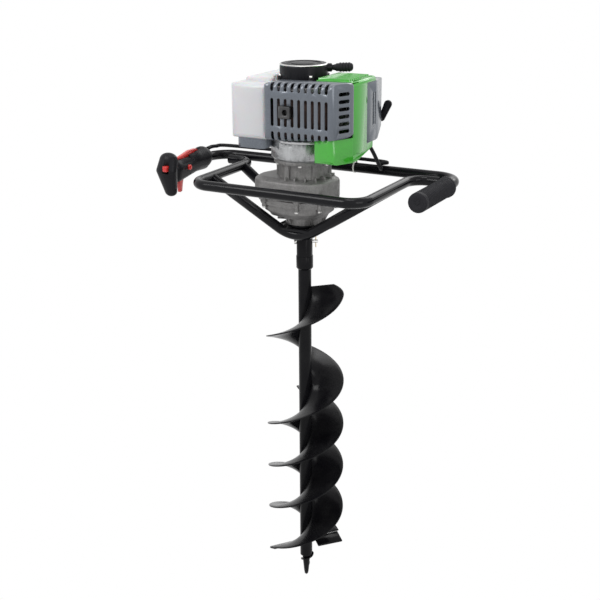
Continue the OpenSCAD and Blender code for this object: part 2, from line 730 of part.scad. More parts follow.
outlet_at = [9, 297];
muffler_back = -71;
module muffler_form(g) {
  soft_block([-28 + g, guard_y[0] + 12 + g, guard_z[0] + 12 + g],
    [122 - g, muffler_back - g, guard_z[1] - 26 - g], 10 - g, 14 - g);
}
module muffler() color([0.42, 0.3, 0.28]) difference() {
  muffler_form(0);
  muffler_form(2);
  translate([outlet_at.x + 3, guard_y[0] + 2, outlet_at.y]) rotate([-90, 0, 0]) cylinder(r = 8, h = 16);
  translate([85, muffler_back - 8, engine_axis_z]) rotate([-90, 0, 0]) cylinder(r = 10, h = 16);
}

module exhaust_outlet() color([0.06, 0.06, 0.07]) difference() {
  block([outlet_at.x - 13, guard_y[0] - 8, outlet_at.y - 16],
    [outlet_at.x + 13, guard_y[0] + 12, outlet_at.y + 16]);
  translate([outlet_at.x + 3, guard_y[0] - 9, outlet_at.y]) rotate([-90, 0, 0])
    cylinder(r = 8, h = 16);
}

// The guard's body, grown by g: rounded seen from above and from the side
module guard_solid(g) {
  r = guard_round + g;
  x0 = guard_x[0] - g;
  x1 = guard_x[1] + g;
  y0 = guard_y[0] - g;
  z0 = guard_z[0] - g;
  z1 = guard_z[1] + g;
  intersection() {
    translate([0, 0, z0]) linear_extrude(z1 - z0) {
      round_rect([x0, y0], [x1, y0 + 60], r);
      translate([x0, y0 + r]) square([x1 - x0, guard_y[1] - y0 - r]);
    }
    translate([x0, 0, 0]) rotate([90, 0, 90]) linear_extrude(x1 - x0) {
      round_rect([y0, z0], [y0 + 60, z1], r);
      translate([y0 + r, z0]) square([guard_y[1] - y0 - r, z1 - z0]);
    }
  }
}

module slot_cut(w, l, depth) {
  linear_extrude(depth) {
    square([w, l - w], center = true);
    for (s = [-1, 1]) translate([0, s * (l - w) / 2]) circle(d = w);
  }
}

slot_first = -22;
slot_pitch = 19;
module front_slots() {
  for (i = [0:slot_columns - 1]) translate([slot_first + slot_pitch * i, 0, 0]) {
    translate([0, guard_y[0] + 3 * cover_wall, (guard_z[0] + guard_z[1]) / 2 - 2])
      rotate([90, 0, 0]) slot_cut(slot_w, 66, 20);
    translate([0, guard_y[0] + guard_round + 10, guard_z[1] - 22])
      rotate([90, 0, 0]) linear_extrude(40) round_rect([-slot_w / 2, -10], [slot_w / 2, 30], 3);
    translate([0, guard_y[0] + guard_round, guard_z[0] + 14])
      rotate([90, 0, 0]) slot_cut(slot_w, 22, 30);
  }
}
module muffler_guard() color([0.42, 0.44, 0.47]) difference() {
  guard_solid(0);
  translate([0, 1, 0]) guard_solid(-cover_wall);
  front_slots();
  for (i = [0:side_slots - 1])
    translate([guard_x[1] - 20, -86, guard_z[1] - 28 - 18 * i]) rotate([0, 90, 0])
      linear_extrude(40) round_rect([-3, -17], [3, 17], 2.9);
  block([outlet_at.x - 14, guard_y[0] - 5, outlet_at.y - 17],
    [outlet_at.x + 14, guard_y[0] + 8, outlet_at.y + 17]);
  disc(300, 400, starter_r + 1.5);
}

// The cowl: a skirt under the guard and a band over the cylinder, joined by their right wall
band_y = [guard_y[1] + 3, filter_y[0] - 1];
module cowl_forms(g) {
  soft_block([60 + g, band_y[0] + g, 190], [cowl_x - g, band_y[1] - g, 373 - g], 6 - g, 12 - g);
  intersection() {
    soft_block([86 + g, -112 + g, cowl_low + g], [cowl_x - g, band_y[1] - g, 260], 16 - g, 16 - g);
    block([0, -200, 0], [200, 200, 229 + 40 * g]);
  }
}
module engine_cowl() color([0.22, 0.72, 0.22]) difference() {
  union() {
    difference() {
      cowl_forms(0);
      block([0, band_y[0] - 1, 0], [cowl_x - 20, band_y[1] + 1, 228]);
    }
    for (i = [0:6]) block([66, band_y[0] + 6 + 11 * i, 370], [cowl_x - 10, band_y[0] + 10 + 11 * i, 376]);
  }
  cowl_forms(cover_wall);
  block([50, band_y[0] + cover_wall, 150], [70, band_y[1] - cover_wall, 368]);
  block([69, band_y[0] - 1, engine_axis_z - 16], [101, band_y[0] + 5, engine_axis_z + 16]);
  block([50, band_y[1] - 2 * cover_wall, 150], [cowl_x - 8, band_y[1] + 1, 366]);
  engine_core(0.5);
}

module carburettor() color([0.68, 0.68, 0.7]) difference() {
  union() {
    soft_block([68, 48, engine_axis_z - 20], [104, 92, engine_axis_z + 20], 4, 4);
    translate([86, 92, engine_axis_z]) rotate([-90, 0, 0]) cylinder(r = 16, h = 10);
  }
  translate([86, 90, engine_axis_z]) rotate([-90, 0, 0]) cylinder(r = 11, h = 20);
  translate([77, 70, engine_axis_z - 21]) cylinder(r = 4 + fit, h = 12);
}

module throttle_lever() color([0.75, 0.72, 0.5]) translate([77, 70, 0]) {
  disc(engine_axis_z - 30, engine_axis_z - 10, 4);
  translate([0, 0, engine_axis_z - 30]) linear_extrude(3)
    wrap([[0, 0, 7], [18, -4, 4]]);
}

choke_at = [140, 258];
module choke_lever() color([0.07, 0.07, 0.08]) translate([choke_at.x, filter_y[1], choke_at.y]) {
  rotate([-90, 0, 0]) translate([0, 0, -12]) cylinder(r = 5, h = 14);
  translate([0, 8.5, 0]) rotate([90, 0, 0]) linear_extrude(7) wrap([[0, 0, 7], [16, 36, 9.5]]);
}

module filter_solid(g) {
  x1 = cowl_x + g;
  intersection() {
    translate([0, 0, filter_z[0] - g]) linear_extrude(filter_z[1] - filter_z[0] + 2 * g)
      round_rect([40 - g, filter_y[0] - 30], [x1, filter_y[1] + g], 18 + g);
    translate([38 - g, 0, 0]) rotate([90, 0, 90]) linear_extrude(x1 - 38 + g)
      wrap([[filter_y[0] - 30, filter_z[0] + 18, 18 + g], [filter_y[1] - 42, filter_z[0] + 20, 20 + g],
        [filter_y[1] - 16, filter_z[0] + 46, 16 + g], [filter_y[1] - 24, filter_z[1] - 24, 24 + g],
        [filter_y[0] - 30, filter_z[1] - 20, 20 + g]]);
    block([0, filter_y[0], 150], [200, 200, 400]);
  }
}
module filter_cover() color([0.45, 0.47, 0.5]) difference() {
  filter_solid(0);
  translate([0, -1, 0]) filter_solid(-cover_wall);
  for (i = [0:2]) translate([cowl_x - 1.2, filter_y[1] - 34 - 13 * i, 0])
    block([0, -2.5, filter_z[0] + 26], [10, 2.5, filter_z[1] - 22]);
  translate([choke_at.x, filter_y[1] - 20, choke_at.y]) rotate([-90, 0, 0])
    cylinder(r = 5 + fit, h = 40);
  engine_core(0);
}

// Space that the clutch housing, the shroud and the starter cover take, grown by g
module engine_core(g) {
  disc(bell_z - 20, bell_top + 8 + g, bell_r + 1.5 + g);
  disc(bell_top, starter_top + 10, starter_r + 9.5 + g);
}

module fuel_tank() color([0.92, 0.92, 0.9, 0.9]) difference() {
  union() {
    soft_block([tank_x[0], tank_y[0], tank_z[0]], [tank_x[1], tank_y[1], tank_z[1]], tank_round, 16);
    soft_block([tank_x[0] + 22, tank_y[0] + 40, tank_z[1] - 30],
      [tank_x[1] - 4, tank_y[1] - 16, tank_z[1] + 9], 14, 8);
    translate([-100, tank_y[1] - 4, 306]) rotate([-90, 0, 0]) cylinder(r = 20, h = 12);
  }
  difference() {
    soft_block([tank_x[0] + 3, tank_y[0] + 3, tank_z[0] + 3],
      [tank_x[1] - 3, tank_y[1] - 3, tank_z[1] - 3], tank_round - 3, 13);
    engine_core(3);
  }
  engine_core(0);
  translate([-100, tank_y[1] - 10, 306]) rotate([-90, 0, 0]) cylinder(r = 15, h = 30);
}

module fuel_cap() color([0.08, 0.08, 0.09]) translate([-100, tank_y[1] + 8 + seat, 306])
  rotate([-90, 0, 0]) {
    cylinder(r = 24, h = 14);
    translate([0, 0, -10]) cylinder(r = 15 - seat, h = 10);
    for (a = [0:30:330]) rotate(a) translate([24, 0, 0]) cylinder(r = 2, h = 13);
  }

module tank_guard() color([0.36, 0.37, 0.42]) difference() {
  translate([0, 0, tank_z[0] - 18]) linear_extrude(34)
    round_rect([tank_x[0] + 14, tank_y[0] + 8], [tank_x[1] - 2, tank_y[1] - 8], 18);
  block([-200, -200, tank_z[0]], [0, 200, 400]);
  translate([0, 0, tank_z[0] - 15]) linear_extrude(40)
    round_rect([tank_x[0] + 17, tank_y[0] + 11], [tank_x[1] - 5, tank_y[1] - 11], 15);
  engine_core(0);
}

// Starter
module starter_cover() color([0.08, 0.08, 0.09]) difference() {
  union() {
    rotate_extrude() {
      translate([0, shroud_top]) square([starter_r, starter_top - shroud_top - 8]);
      translate([0, shroud_top]) square([starter_r - 8, starter_top - shroud_top]);
      translate([starter_r - 8, starter_top - 8]) circle(r = 8);
    }
    rotate(pull_angle) translate([starter_r - 10, 0, pull_z]) rotate([0, 90, 0])
      cylinder(r = 10, h = 22);
    for (a = [45:90:315]) rotate(a) disc(shroud_top, shroud_top + 26, 7, [starter_r + 1, 0]);
  }
  disc(shroud_top - 1, starter_top - 3, starter_r - 4);
  rotate(pull_angle) translate([0, 0, pull_z]) rotate([0, 90, 0])
    cylinder(r = rope_d / 2 + play, h = 200);
  ring(starter_top - 1.5, starter_top + 1, 30, 27);
}

module starter_reel() color([0.75, 0.73, 0.68]) difference() {
  union() {
    disc(reel_z[0], reel_z[0] + 3, reel_r);
    disc(reel_z[0], reel_z[1], reel_r - 12);
    disc(reel_z[1] - 3, reel_z[1], reel_r);
    disc(reel_z[0], starter_top - 3, 8);
  }
  disc(reel_z[0] - 1, reel_z[0] + 6, 12);
}

module starter_handle() color([0.07, 0.07, 0.08]) rotate(pull_angle)
  translate([starter_r + 12 + seat, 0, pull_z]) rotate([0, 90, 0]) {
    translate([0, 0, -24]) cylinder(r = rope_d / 2, h = 24);
    rotate_extrude() polygon([[0, 0], [6, 0], [7.5, 8], [9, 12], [9, 16], [11, 18], [11, 24],
      [9.5, 26], [11, 28], [11, 34], [9.5, 36], [11, 38], [11, 44], [8, 49], [0, 50]]);
  }

// Controls
module grip_form() {
  hull($fn = 28) {
    translate([-bar_half, 100, bar_z - 1]) sphere(r = 27, $fn = 28);
    translate([-bar_half, 30, bar_z - 4]) sphere(r = 22, $fn = 28);
  }
  hull() {
    translate([-bar_half, 30, bar_z - 4]) sphere(r = 22, $fn = 28);
    translate([-bar_half, -50, bar_z - 2]) sphere(r = 23, $fn = 28);
    translate([-bar_half, -46, bar_z - 22]) sphere(r = 16, $fn = 28);
  }
  hull() {
    translate([-bar_half, head_y, bar_z + 26]) scale([1.4, 1, 1]) sphere(r = 18, $fn = 28);
    translate([-bar_half, head_y - 12, bar_z]) scale([1.6, 1, 1]) sphere(r = 18, $fn = 28);
    translate([-bar_half, head_y + 4, bar_z - 56]) scale([1.3, 1, 1]) sphere(r = 13, $fn = 28);
  }
}

// Space inside the grip for the bar's end, the trigger, the lever and the switches
module grip_room() {
  rod([-bar_half, 140, bar_z], [-bar_half, head_y + 5.5, bar_z], tube_r + fit);
  block([-bar_half - 6, -58, bar_z - 60], [-bar_half + 6, -14, bar_z - tube_r - 2]);
  block([-bar_half - 6, -56, bar_z + tube_r + 1], [-bar_half + 6, 56, bar_z + 50]);
}

// Moulded pins of the trigger and of the lock-off lever
module pivots(r) {
  for (p = [lever_pivot, trigger_pivot]) translate(p - [6, 0, 0]) rotate([0, 90, 0])
    cylinder(r = r, h = 14);
}

module grip_half(side) {
  difference() {
    intersection() {
      grip_form();
      translate([-bar_half + (side > 0 ? 0 : -80), -200, 0]) cube([80, 400, 300]);
    }
    grip_room();
    button_room();
    screw_holes(2);
    translate([-bar_half, 100, conduit_z]) rotate([-90, 0, 0]) cylinder(r = conduit_r + fit, h = 40);
    block([-bar_half - 30, bar_y - bar_bend, bar_z - 40], [-bar_half + 120, bar_y + 60, bar_z + 40]);
  }
}
module grip_left_half() color([0.15, 0.15, 0.17]) grip_half(-1);
module grip_right_half() color([0.15, 0.15, 0.17]) {
  grip_half(1);
  pivots(2);
}

screw_at = [[84, -17], [-8, -22], [head_y, -50], [head_y, 32]];
module screw_holes(r) {
  for (s = screw_at) translate([-bar_half - 60, s.x, bar_z + s.y]) rotate([0, 90, 0])
    cylinder(r = r, h = 90);
}
module grip_screws() color([0.3, 0.3, 0.32]) for (s = screw_at)
  translate([-bar_half + 6, s.x, bar_z + s.y]) rotate([0, -90, 0]) cylinder(r = 2 - fit, h = 18);

module lockoff_lever() color([0.85, 0.12, 0.1]) difference() {
  translate([-bar_half - 4.5, 0, 0]) rotate([90, 0, 90]) linear_extrude(9)
    polygon([[-44, bar_z + 15], [-32, bar_z + 15], [-24, bar_z + 19], [46, bar_z + 20.5], [52, bar_z + 28],
      [40, bar_z + 34], [10, bar_z + 34], [-24, bar_z + 27], [-44, bar_z + 24]]);
  translate(lever_pivot) rotate([0, 90, 0]) cylinder(r = 2 + fit, h = 20, center = true);
}

module throttle_trigger() color([0.85, 0.12, 0.1]) difference() {
  translate([-bar_half - 4.5, 0, 0]) rotate([90, 0, 90]) linear_extrude(9)
    polygon([[-44, bar_z - 16], [-30, bar_z - 16], [-21, bar_z - 20], [-20, bar_z - 28],
      [-26, bar_z - 44], [-30, bar_z - 64], [-38, bar_z - 66], [-40, bar_z - 46], [-44, bar_z - 30]]);
  translate(trigger_pivot) rotate([0, 90, 0]) cylinder(r = 2 + fit, h = 20, center = true);
}

button_at = [-bar_half + 10, -20, bar_z - 2];
switch_at = [-bar_half + 8, head_y - 14, bar_z + 8];
module button_room() {
  translate(button_at) rotate([0, 90, 0]) cylinder(r = 6.5 + play, h = 40);
  block(switch_at - [8, 30, 13], switch_at + [8, 0, 8]);
}
module start_button() color([0.85, 0.12, 0.1]) translate(button_at + [6, 0, 0]) rotate([0, 90, 0])
  cylinder(r = 6.5, h = 11);
module stop_switch() color([0.85, 0.12, 0.1])
  block(switch_at - [6, 18, 7], switch_at + [6, 0, 7] - [0, 2, 0]);

module right_grip() color([0.2, 0.2, 0.22]) difference() {
  union() {
    rod([bar_half, -bar_front - 8, bar_z], [bar_half, -bar_front - 8 + grip_len, bar_z], grip_r);
    rod([bar_half, -bar_front - 8 + grip_len - 6, bar_z], [bar_half, -bar_front - 8 + grip_len, bar_z],
      grip_r + 2);
  }
  rod([bar_half, -bar_front, bar_z], [bar_half, bar_y, bar_z], tube_r + fit);
  rod([bar_half, -bar_front - 10, bar_z], [bar_half, -bar_front + 1, bar_z], 3);
}

conduit_pts = [[-bar_half, 101, conduit_z], [-bar_half + 2, 136, conduit_z],
  [-bar_half + 60, conduit_y, conduit_z], [118, conduit_y, conduit_z], [140, 142, conduit_z + 6],
  [118, 112, 186], [100, 92, filter_z[0] - 7]];
module control_conduit($fn = 12) color([0.06, 0.06, 0.07]) knuckled_rod(conduit_pts, conduit_r);

module cable_ties() color([0.85, 0.85, 0.82]) for (x = tie_x) translate([x - 2, bar_y, bar_z])
  rotate([90, 0, 90]) linear_extrude(4) difference() {
    wrap([[0, 0, tube_r], [0, conduit_z - bar_z, conduit_r]], 1.2);
    wrap([[0, 0, tube_r], [0, conduit_z - bar_z, conduit_r]], fit);
  }

handlebar();
front_loop();
front_brace();
rear_brace();
base_plate();
mounting_ring();
plate_bolts();
grip_left_half();
grip_right_half();
grip_screws();
throttle_trigger();
lockoff_lever();
start_button();
stop_switch();
right_grip();
control_conduit();
cable_ties();
bit_tube();
bit_socket();
main_flight();
second_flight();
cutter_blades();
pilot_point();
drive_pin();
r_clip();
output_shaft();
output_gear();
first_layshaft();
second_layshaft();
input_pinion();
shaft_bearings();
shaft_seals();
gearbox_cover();
gearbox_housing();
gearbox_bolts();
clutch_drum();
clutch_hub();
front_shoe();
rear_shoe();
clutch_housing();
crankcase();
crankshaft();
flywheel();
cylinder_node();  // cylinder
spark_plug();
plug_cap();
muffler();
exhaust_outlet();
muffler_guard();
engine_cowl();
carburettor();
throttle_lever();
choke_lever();
filter_cover();
fuel_tank();
tank_guard();
fuel_cap();
starter_cover();
starter_reel();
starter_handle();
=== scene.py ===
"""Dresses an engine-driven earth auger: frame, bit, gearbox, engine and controls, with its stage."""

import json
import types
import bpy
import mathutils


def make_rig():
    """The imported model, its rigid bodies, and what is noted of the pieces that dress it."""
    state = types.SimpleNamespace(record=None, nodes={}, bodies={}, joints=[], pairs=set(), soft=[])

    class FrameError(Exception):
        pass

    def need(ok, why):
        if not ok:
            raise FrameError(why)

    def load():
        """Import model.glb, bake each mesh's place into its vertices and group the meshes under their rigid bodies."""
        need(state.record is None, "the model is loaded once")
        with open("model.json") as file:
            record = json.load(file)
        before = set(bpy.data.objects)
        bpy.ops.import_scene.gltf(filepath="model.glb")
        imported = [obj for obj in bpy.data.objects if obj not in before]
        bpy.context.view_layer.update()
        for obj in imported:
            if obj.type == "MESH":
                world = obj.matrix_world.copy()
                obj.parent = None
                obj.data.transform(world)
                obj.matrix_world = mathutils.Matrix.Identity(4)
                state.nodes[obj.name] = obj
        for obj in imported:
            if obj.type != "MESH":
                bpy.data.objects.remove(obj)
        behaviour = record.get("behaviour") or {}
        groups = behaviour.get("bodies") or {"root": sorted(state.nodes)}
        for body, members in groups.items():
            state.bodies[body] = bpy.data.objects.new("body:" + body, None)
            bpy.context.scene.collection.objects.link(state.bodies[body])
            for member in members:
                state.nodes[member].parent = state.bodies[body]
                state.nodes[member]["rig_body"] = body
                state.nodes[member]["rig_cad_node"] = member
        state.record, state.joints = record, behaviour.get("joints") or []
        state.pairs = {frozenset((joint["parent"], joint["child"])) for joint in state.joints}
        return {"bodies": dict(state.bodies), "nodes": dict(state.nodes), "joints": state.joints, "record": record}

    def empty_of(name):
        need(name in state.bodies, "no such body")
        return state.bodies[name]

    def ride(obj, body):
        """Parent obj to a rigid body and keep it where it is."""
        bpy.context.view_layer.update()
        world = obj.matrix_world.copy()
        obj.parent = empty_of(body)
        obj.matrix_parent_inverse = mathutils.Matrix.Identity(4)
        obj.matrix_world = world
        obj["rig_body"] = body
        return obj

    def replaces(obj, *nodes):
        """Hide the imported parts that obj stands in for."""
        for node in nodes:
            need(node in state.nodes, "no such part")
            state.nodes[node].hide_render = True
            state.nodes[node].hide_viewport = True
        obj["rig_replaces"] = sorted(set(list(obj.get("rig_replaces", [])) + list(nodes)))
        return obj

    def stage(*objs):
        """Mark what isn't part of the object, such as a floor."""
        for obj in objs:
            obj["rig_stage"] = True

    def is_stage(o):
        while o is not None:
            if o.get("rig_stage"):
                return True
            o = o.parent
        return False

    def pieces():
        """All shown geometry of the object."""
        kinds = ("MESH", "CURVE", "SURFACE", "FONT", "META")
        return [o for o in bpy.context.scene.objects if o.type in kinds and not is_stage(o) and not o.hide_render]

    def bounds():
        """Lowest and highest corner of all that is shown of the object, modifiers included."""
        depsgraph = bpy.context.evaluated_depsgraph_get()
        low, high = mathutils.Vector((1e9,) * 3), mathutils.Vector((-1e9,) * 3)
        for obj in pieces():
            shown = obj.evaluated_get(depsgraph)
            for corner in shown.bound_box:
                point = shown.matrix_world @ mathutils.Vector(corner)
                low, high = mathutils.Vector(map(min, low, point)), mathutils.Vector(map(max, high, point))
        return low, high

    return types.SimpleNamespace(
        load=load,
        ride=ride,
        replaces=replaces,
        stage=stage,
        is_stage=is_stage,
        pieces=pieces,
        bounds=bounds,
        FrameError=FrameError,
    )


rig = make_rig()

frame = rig.load()

import json
import math

import bmesh
import bpy
from mathutils import Matrix, Vector

bl_info = {
    "name": "Earth auger",
    "version": (1, 0, 0),
    "blender": (4, 5, 0),
    "location": "3D View > Sidebar > Auger",
    "description": "Builds the looks of an earth auger over its packed solids",
    "category": "Object",
}

MM = 0.001
X, Y, Z = range(3)
CAD_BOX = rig.bounds()
BODY_OF = {node: body for body, nodes in frame["record"]["behaviour"]["bodies"].items() for node in nodes}

# A bevel as wide as this, in metres, is cut down to what the shortest edges of a form allow
CLAMPED_EDGE = 1.0

# Grips, conduit and starter, in millimetres, as the solids have them
GRIP_AXIS = (346, 124)
GRIP_ENDS = (-112, 64)
BALL_Y = 71
BALL_Z = 129
BALL_RADIUS = 28.5
CONDUIT_RADIUS = 4.65
CONDUIT_RIDGE = 0.35
CONDUIT_ROUTE = [(-346, 101, 146.8), (-344, 136, 146.8), (-286, 162, 146.8), (116, 162, 146.8),
                 (132, 152, 141), (142, 139, 133), (139, 104, 176), (131, 87, 208), (130, 84, 238)]
STARTER_TOP = 402
STARTER_RADIUS = 57
STARTER_SCREWS = (45, 135, 225, 315)
SHROUD_TOP = 350
POST_TOP = 374
PULL_ANGLE = math.radians(35)
PULL_HEIGHT = 389

# Flights, blades and point of the bit, in millimetres, with depths counted downwards from the origin
FLIGHT_START = math.radians(43)
FLIGHT_TOP = 156
FLIGHT_LEAD = 245
FLIGHT_TURNS = 2.97
FLIGHT_PLATE = 3.4
FLIGHT_RADIUS = 100
TUBE_RADIUS = 16.5
SECOND_START = 1.24
FLIGHT_LOW = FLIGHT_TOP + FLIGHT_LEAD * FLIGHT_TURNS
HUB_LOW = FLIGHT_LOW + 50
TIP_LOW = -CAD_BOX[0][2] / MM
POINT_TURNS = 1.9
BLADE = [(24, -30), (97, -34), (97, 2), (24, 2)]
BLADE_THICK = 6
BLADE_TILT = math.radians(24)

# Gearbox, as circles (x, y, radius) that an outline wraps, as levels (height, growth), and as posts
# (circle of the case, distance outside it, turns in degrees)
CASE = [(0, 0, 76), (-40.2, 36.1, 48.8), (-49, -13.1, 50.8)]
POSTS = [(0, 6.5, (-75, -35, 10, 55)), (1, 6.5, (95,)), (1, 13, (150,)), (2, 6.5, (190,)), (2, 13, (240,))]
BLOCK = [(0, 0, 83), (40, 10, 47), (-40, 42, 53), (-66, -28, 50)]
BLOCK_LEVELS = [(78, -7), (81, -1), (84, 0), (119, 0), (124, -2), (130, -11), (132, -15)]
COVER_LEVELS = [(12, -27), (30, -18), (38, -13), (46, -2), (57, 1), (57.5, 16), (72, 16)]
WEB_CORNERS = [(61, -0.03), (75, -0.024), (75, 0.024), (61, 0.03)]

# Covers of the engine, as circles (x, y, radius) that an outline wraps
COVER_WALL = 2.5
GUARD_PLAN = [(-29, -106, 16), (128, -108, 14), (152, -62, 10), (152, -20, 10), (-29, -20, 16)]
GUARD_SIDE = [(-106, 249, 16), (-20, 249, 16), (-20, 356, 16), (-106, 356, 16)]
GUARD_FRONT = [(-27, 250, 18), (152, 258, 10), (152, 362, 10), (-27, 350, 18)]
GUARD_BACK = -60
SLOT_COLUMNS = [-18 + 17.6 * i for i in range(9)]
SLOT_ROWS = [(273, 330), (354, 388), (216, 253)]
SLOT_WIDTH = 8
SIDE_SLOTS = [349 - 16.9 * i for i in range(6)]
SIDE_MIDDLE = (151.5, -88, 0)
SIDE_TURN = math.radians(-23.5)
OUTLET = (16, 303)
SKIRT_PLAN = [(90, -108, 4), (128, -104, 13), (152, -60, 9.7), (152, 44, 9.7), (90, 44, 4)]
SKIRT_SIDE = [(-104, 200, 12), (-40, 200, 12), (44, 214, 6), (44, 262, 6), (-104, 262, 12)]
BAND_FRONT = [(66, 200, 6), (154, 206, 8), (150, 361, 12), (72, 361, 12)]
LID_X, LID_Y, LID_Z = (60, 162), (-28, 64), (288, 373)
FILTER_PLAN = [(60, -18, 18), (144, -18, 18), (144, 60, 18), (129, 121, 18), (58, 121, 18)]
FILTER_SIDE = [(-18, 231, 10), (80, 237, 16), (121, 262, 18), (113, 336, 26), (-18, 342, 20)]
TANK_X, TANK_Y, TANK_Z = (-149, -49), (-104, 104), (229, 360)
TANK_NECK = (-100, 306)
TANK_BELL = 82

# Lamps, as (name, place, size, power), and the camera, in metres
LAMPS = [("Key", (-1.6, -2.6, 2.6), 1.6, 58), ("Fill", (3.2, -1.6, 1.4), 2.0, 30),
         ("Back", (0.4, 2.8, 2.2), 2.0, 34), ("Top", (0.0, -0.3, 3.4), 1.4, 26)]
LAMP_TARGET = Vector((0, 0, -0.1))
WORLD_LIGHT = 0.42
CAMERA_PLACE = (1.279, -2.365, 0.737)
CAMERA_VIEW = Vector((-0.4495, 0.8313, -0.3270))
CAMERA_ROLL = -0.00568
WHITE = (1, 1, 1, 1)

# What all colours and all lengths of the settings share
COLOUR = {"subtype": "COLOR", "size": 3, "min": 0, "max": 1}
LENGTH = {"subtype": "DISTANCE", "unit": "LENGTH"}


class AugerColours(bpy.types.PropertyGroup):
    """Colours of the machine's finishes"""
    frame_paint: bpy.props.FloatVectorProperty(
        name="Frame paint", description="Gloss paint of the tubes and the bit",
        default=(0.0045, 0.0043, 0.006), **COLOUR)
    green: bpy.props.FloatVectorProperty(
        name="Green cover", description="Moulded engine cowl", default=(0.045, 0.42, 0.025), **COLOUR)
    grey: bpy.props.FloatVectorProperty(
        name="Grey cover", description="Muffler guard, filter cover and the band under the tank",
        default=(0.125, 0.142, 0.17), **COLOUR)
    red: bpy.props.FloatVectorProperty(
        name="Red control", description="Trigger, lever, button and switch",
        default=(0.62, 0.02, 0.018), **COLOUR)
    black: bpy.props.FloatVectorProperty(
        name="Black plastic", description="Throttle grip, starter, fuel cap, choke lever and conduit",
        default=(0.009, 0.009, 0.011), **COLOUR)
    tank: bpy.props.FloatVectorProperty(
        name="Tank", description="Milky plastic of the fuel tank", default=(0.69, 0.69, 0.71), **COLOUR)
    casting: bpy.props.FloatVectorProperty(
        name="Casting", description="Aluminium of the cylinder, the flywheel and the carburettor",
        default=(0.3, 0.305, 0.31), **COLOUR)


class AugerSizes(bpy.types.PropertyGroup):
    """Sizes of the finer forms"""
    casting_edge: bpy.props.FloatProperty(
        name="Casting edge", description="Rounding of cast edges",
        min=0.0002, max=0.003, default=0.0012, **LENGTH)
    moulded_edge: bpy.props.FloatProperty(
        name="Moulded edge", description="Rounding of the muffler, the fuel cap and the choke lever",
        min=0.0002, max=0.002, default=0.0007, **LENGTH)
    grip_ribs: bpy.props.IntProperty(
        name="Grip ribs", description="Ribs round the rubber grip", min=8, max=40, default=22)
    conduit_pitch: bpy.props.FloatProperty(
        name="Conduit pitch", description="Distance between the conduit's ridges",
        min=0.002, max=0.006, default=0.0035, **LENGTH)


def colours():
    """The colours that the scene is set to"""
    return bpy.context.scene.auger_colours


def sizes():
    """The sizes that the scene is set to"""
    return bpy.context.scene.auger_sizes


# Node helpers, for shaders and geometry

def new_group(tree, name, sockets_in, sockets_out):
    """A node group with its inputs, as (name, type) or (name, type, default), and its outputs"""
    group = bpy.data.node_groups.new(name, tree)
    for label, kind, *default in sockets_in:
        socket = group.interface.new_socket(label, in_out="INPUT", socket_type="NodeSocket" + kind)
        if default:
            socket.default_value = default[0]
    for label, kind in sockets_out:
        group.interface.new_socket(label, in_out="OUTPUT", socket_type="NodeSocket" + kind)
    nodes = group.nodes
    return group, nodes, group.links, nodes.new("NodeGroupInput"), nodes.new("NodeGroupOutput")


def set_values(node, values):
    """Sets unlinked inputs of a node by name"""
    for label, value in values.items():
        node.inputs[label].default_value = value


def calculate(nodes, links, operation, a, b=None):
    """The result of a Math node on numbers or sockets"""
    node = nodes.new("ShaderNodeMath")
    node.operation = operation
    for socket, value in zip(node.inputs, (a, b)):
        if isinstance(value, (int, float)):
            socket.default_value = value
        elif value is not None:
            links.new(value, socket)
    return node.outputs["Value"]


def noise(nodes, links, vector, scale, detail=4.0):
    """The pattern of a Noise Texture, whose scale is a number or a socket"""
    node = nodes.new("ShaderNodeTexNoise")
    node.inputs["Detail"].default_value = detail
    links.new(vector, node.inputs["Vector"])
    if isinstance(scale, float):
        node.inputs["Scale"].default_value = scale
    else:
        links.new(scale, node.inputs["Scale"])
    return node.outputs["Fac"]


def ramp(nodes, links, value, low, high):
    """A value spread so that low becomes 0 and high becomes 1"""
    node = nodes.new("ShaderNodeMapRange")
    set_values(node, {"From Min": low, "From Max": high})
    links.new(value, node.inputs["Value"])
    return node.outputs["Result"]


def mixed(nodes, links, kind, factor, a, b):
    """The result of a Mix node, of numbers (FLOAT) or colours (RGBA)"""
    node = nodes.new("ShaderNodeMix")
    node.data_type = kind
    for label, source in (("Factor", factor), ("A", a), ("B", b)):
        links.new(source, node.inputs[label])
    return node.outputs["Result"]


# Shader groups and finishes

def surface_group():
    """Uneven colour and roughness, with a fine grain to bump"""
    found = bpy.data.node_groups.get("Uneven surface")
    if found:
        return found
    group, nodes, links, given, out = new_group(
        "ShaderNodeTree", "Uneven surface",
        [("Vector", "Vector"), ("Patch scale", "Float", 12.0), ("Grain scale", "Float", 900.0),
         ("Grain mix", "Float", 0.5), ("Colour", "Color", (0.5, 0.5, 0.5, 1)),
         ("Worn colour", "Color", (0.6, 0.6, 0.6, 1)), ("Smooth", "Float", 0.3), ("Rough", "Float", 0.5)],
        [("Colour", "Color"), ("Roughness", "Float"), ("Height", "Float")])
    source = given.outputs
    patches = noise(nodes, links, source["Vector"], source["Patch scale"])
    grain = noise(nodes, links, source["Vector"], source["Grain scale"], 2.0)
    wear = ramp(nodes, links, mixed(nodes, links, "FLOAT", source["Grain mix"], patches, grain), 0.35, 0.68)
    tint = mixed(nodes, links, "RGBA", wear, source["Colour"], source["Worn colour"])
    rough = mixed(nodes, links, "FLOAT", wear, source["Smooth"], source["Rough"])
    for label, value in (("Colour", tint), ("Roughness", rough), ("Height", grain)):
        links.new(value, out.inputs[label])
    return group


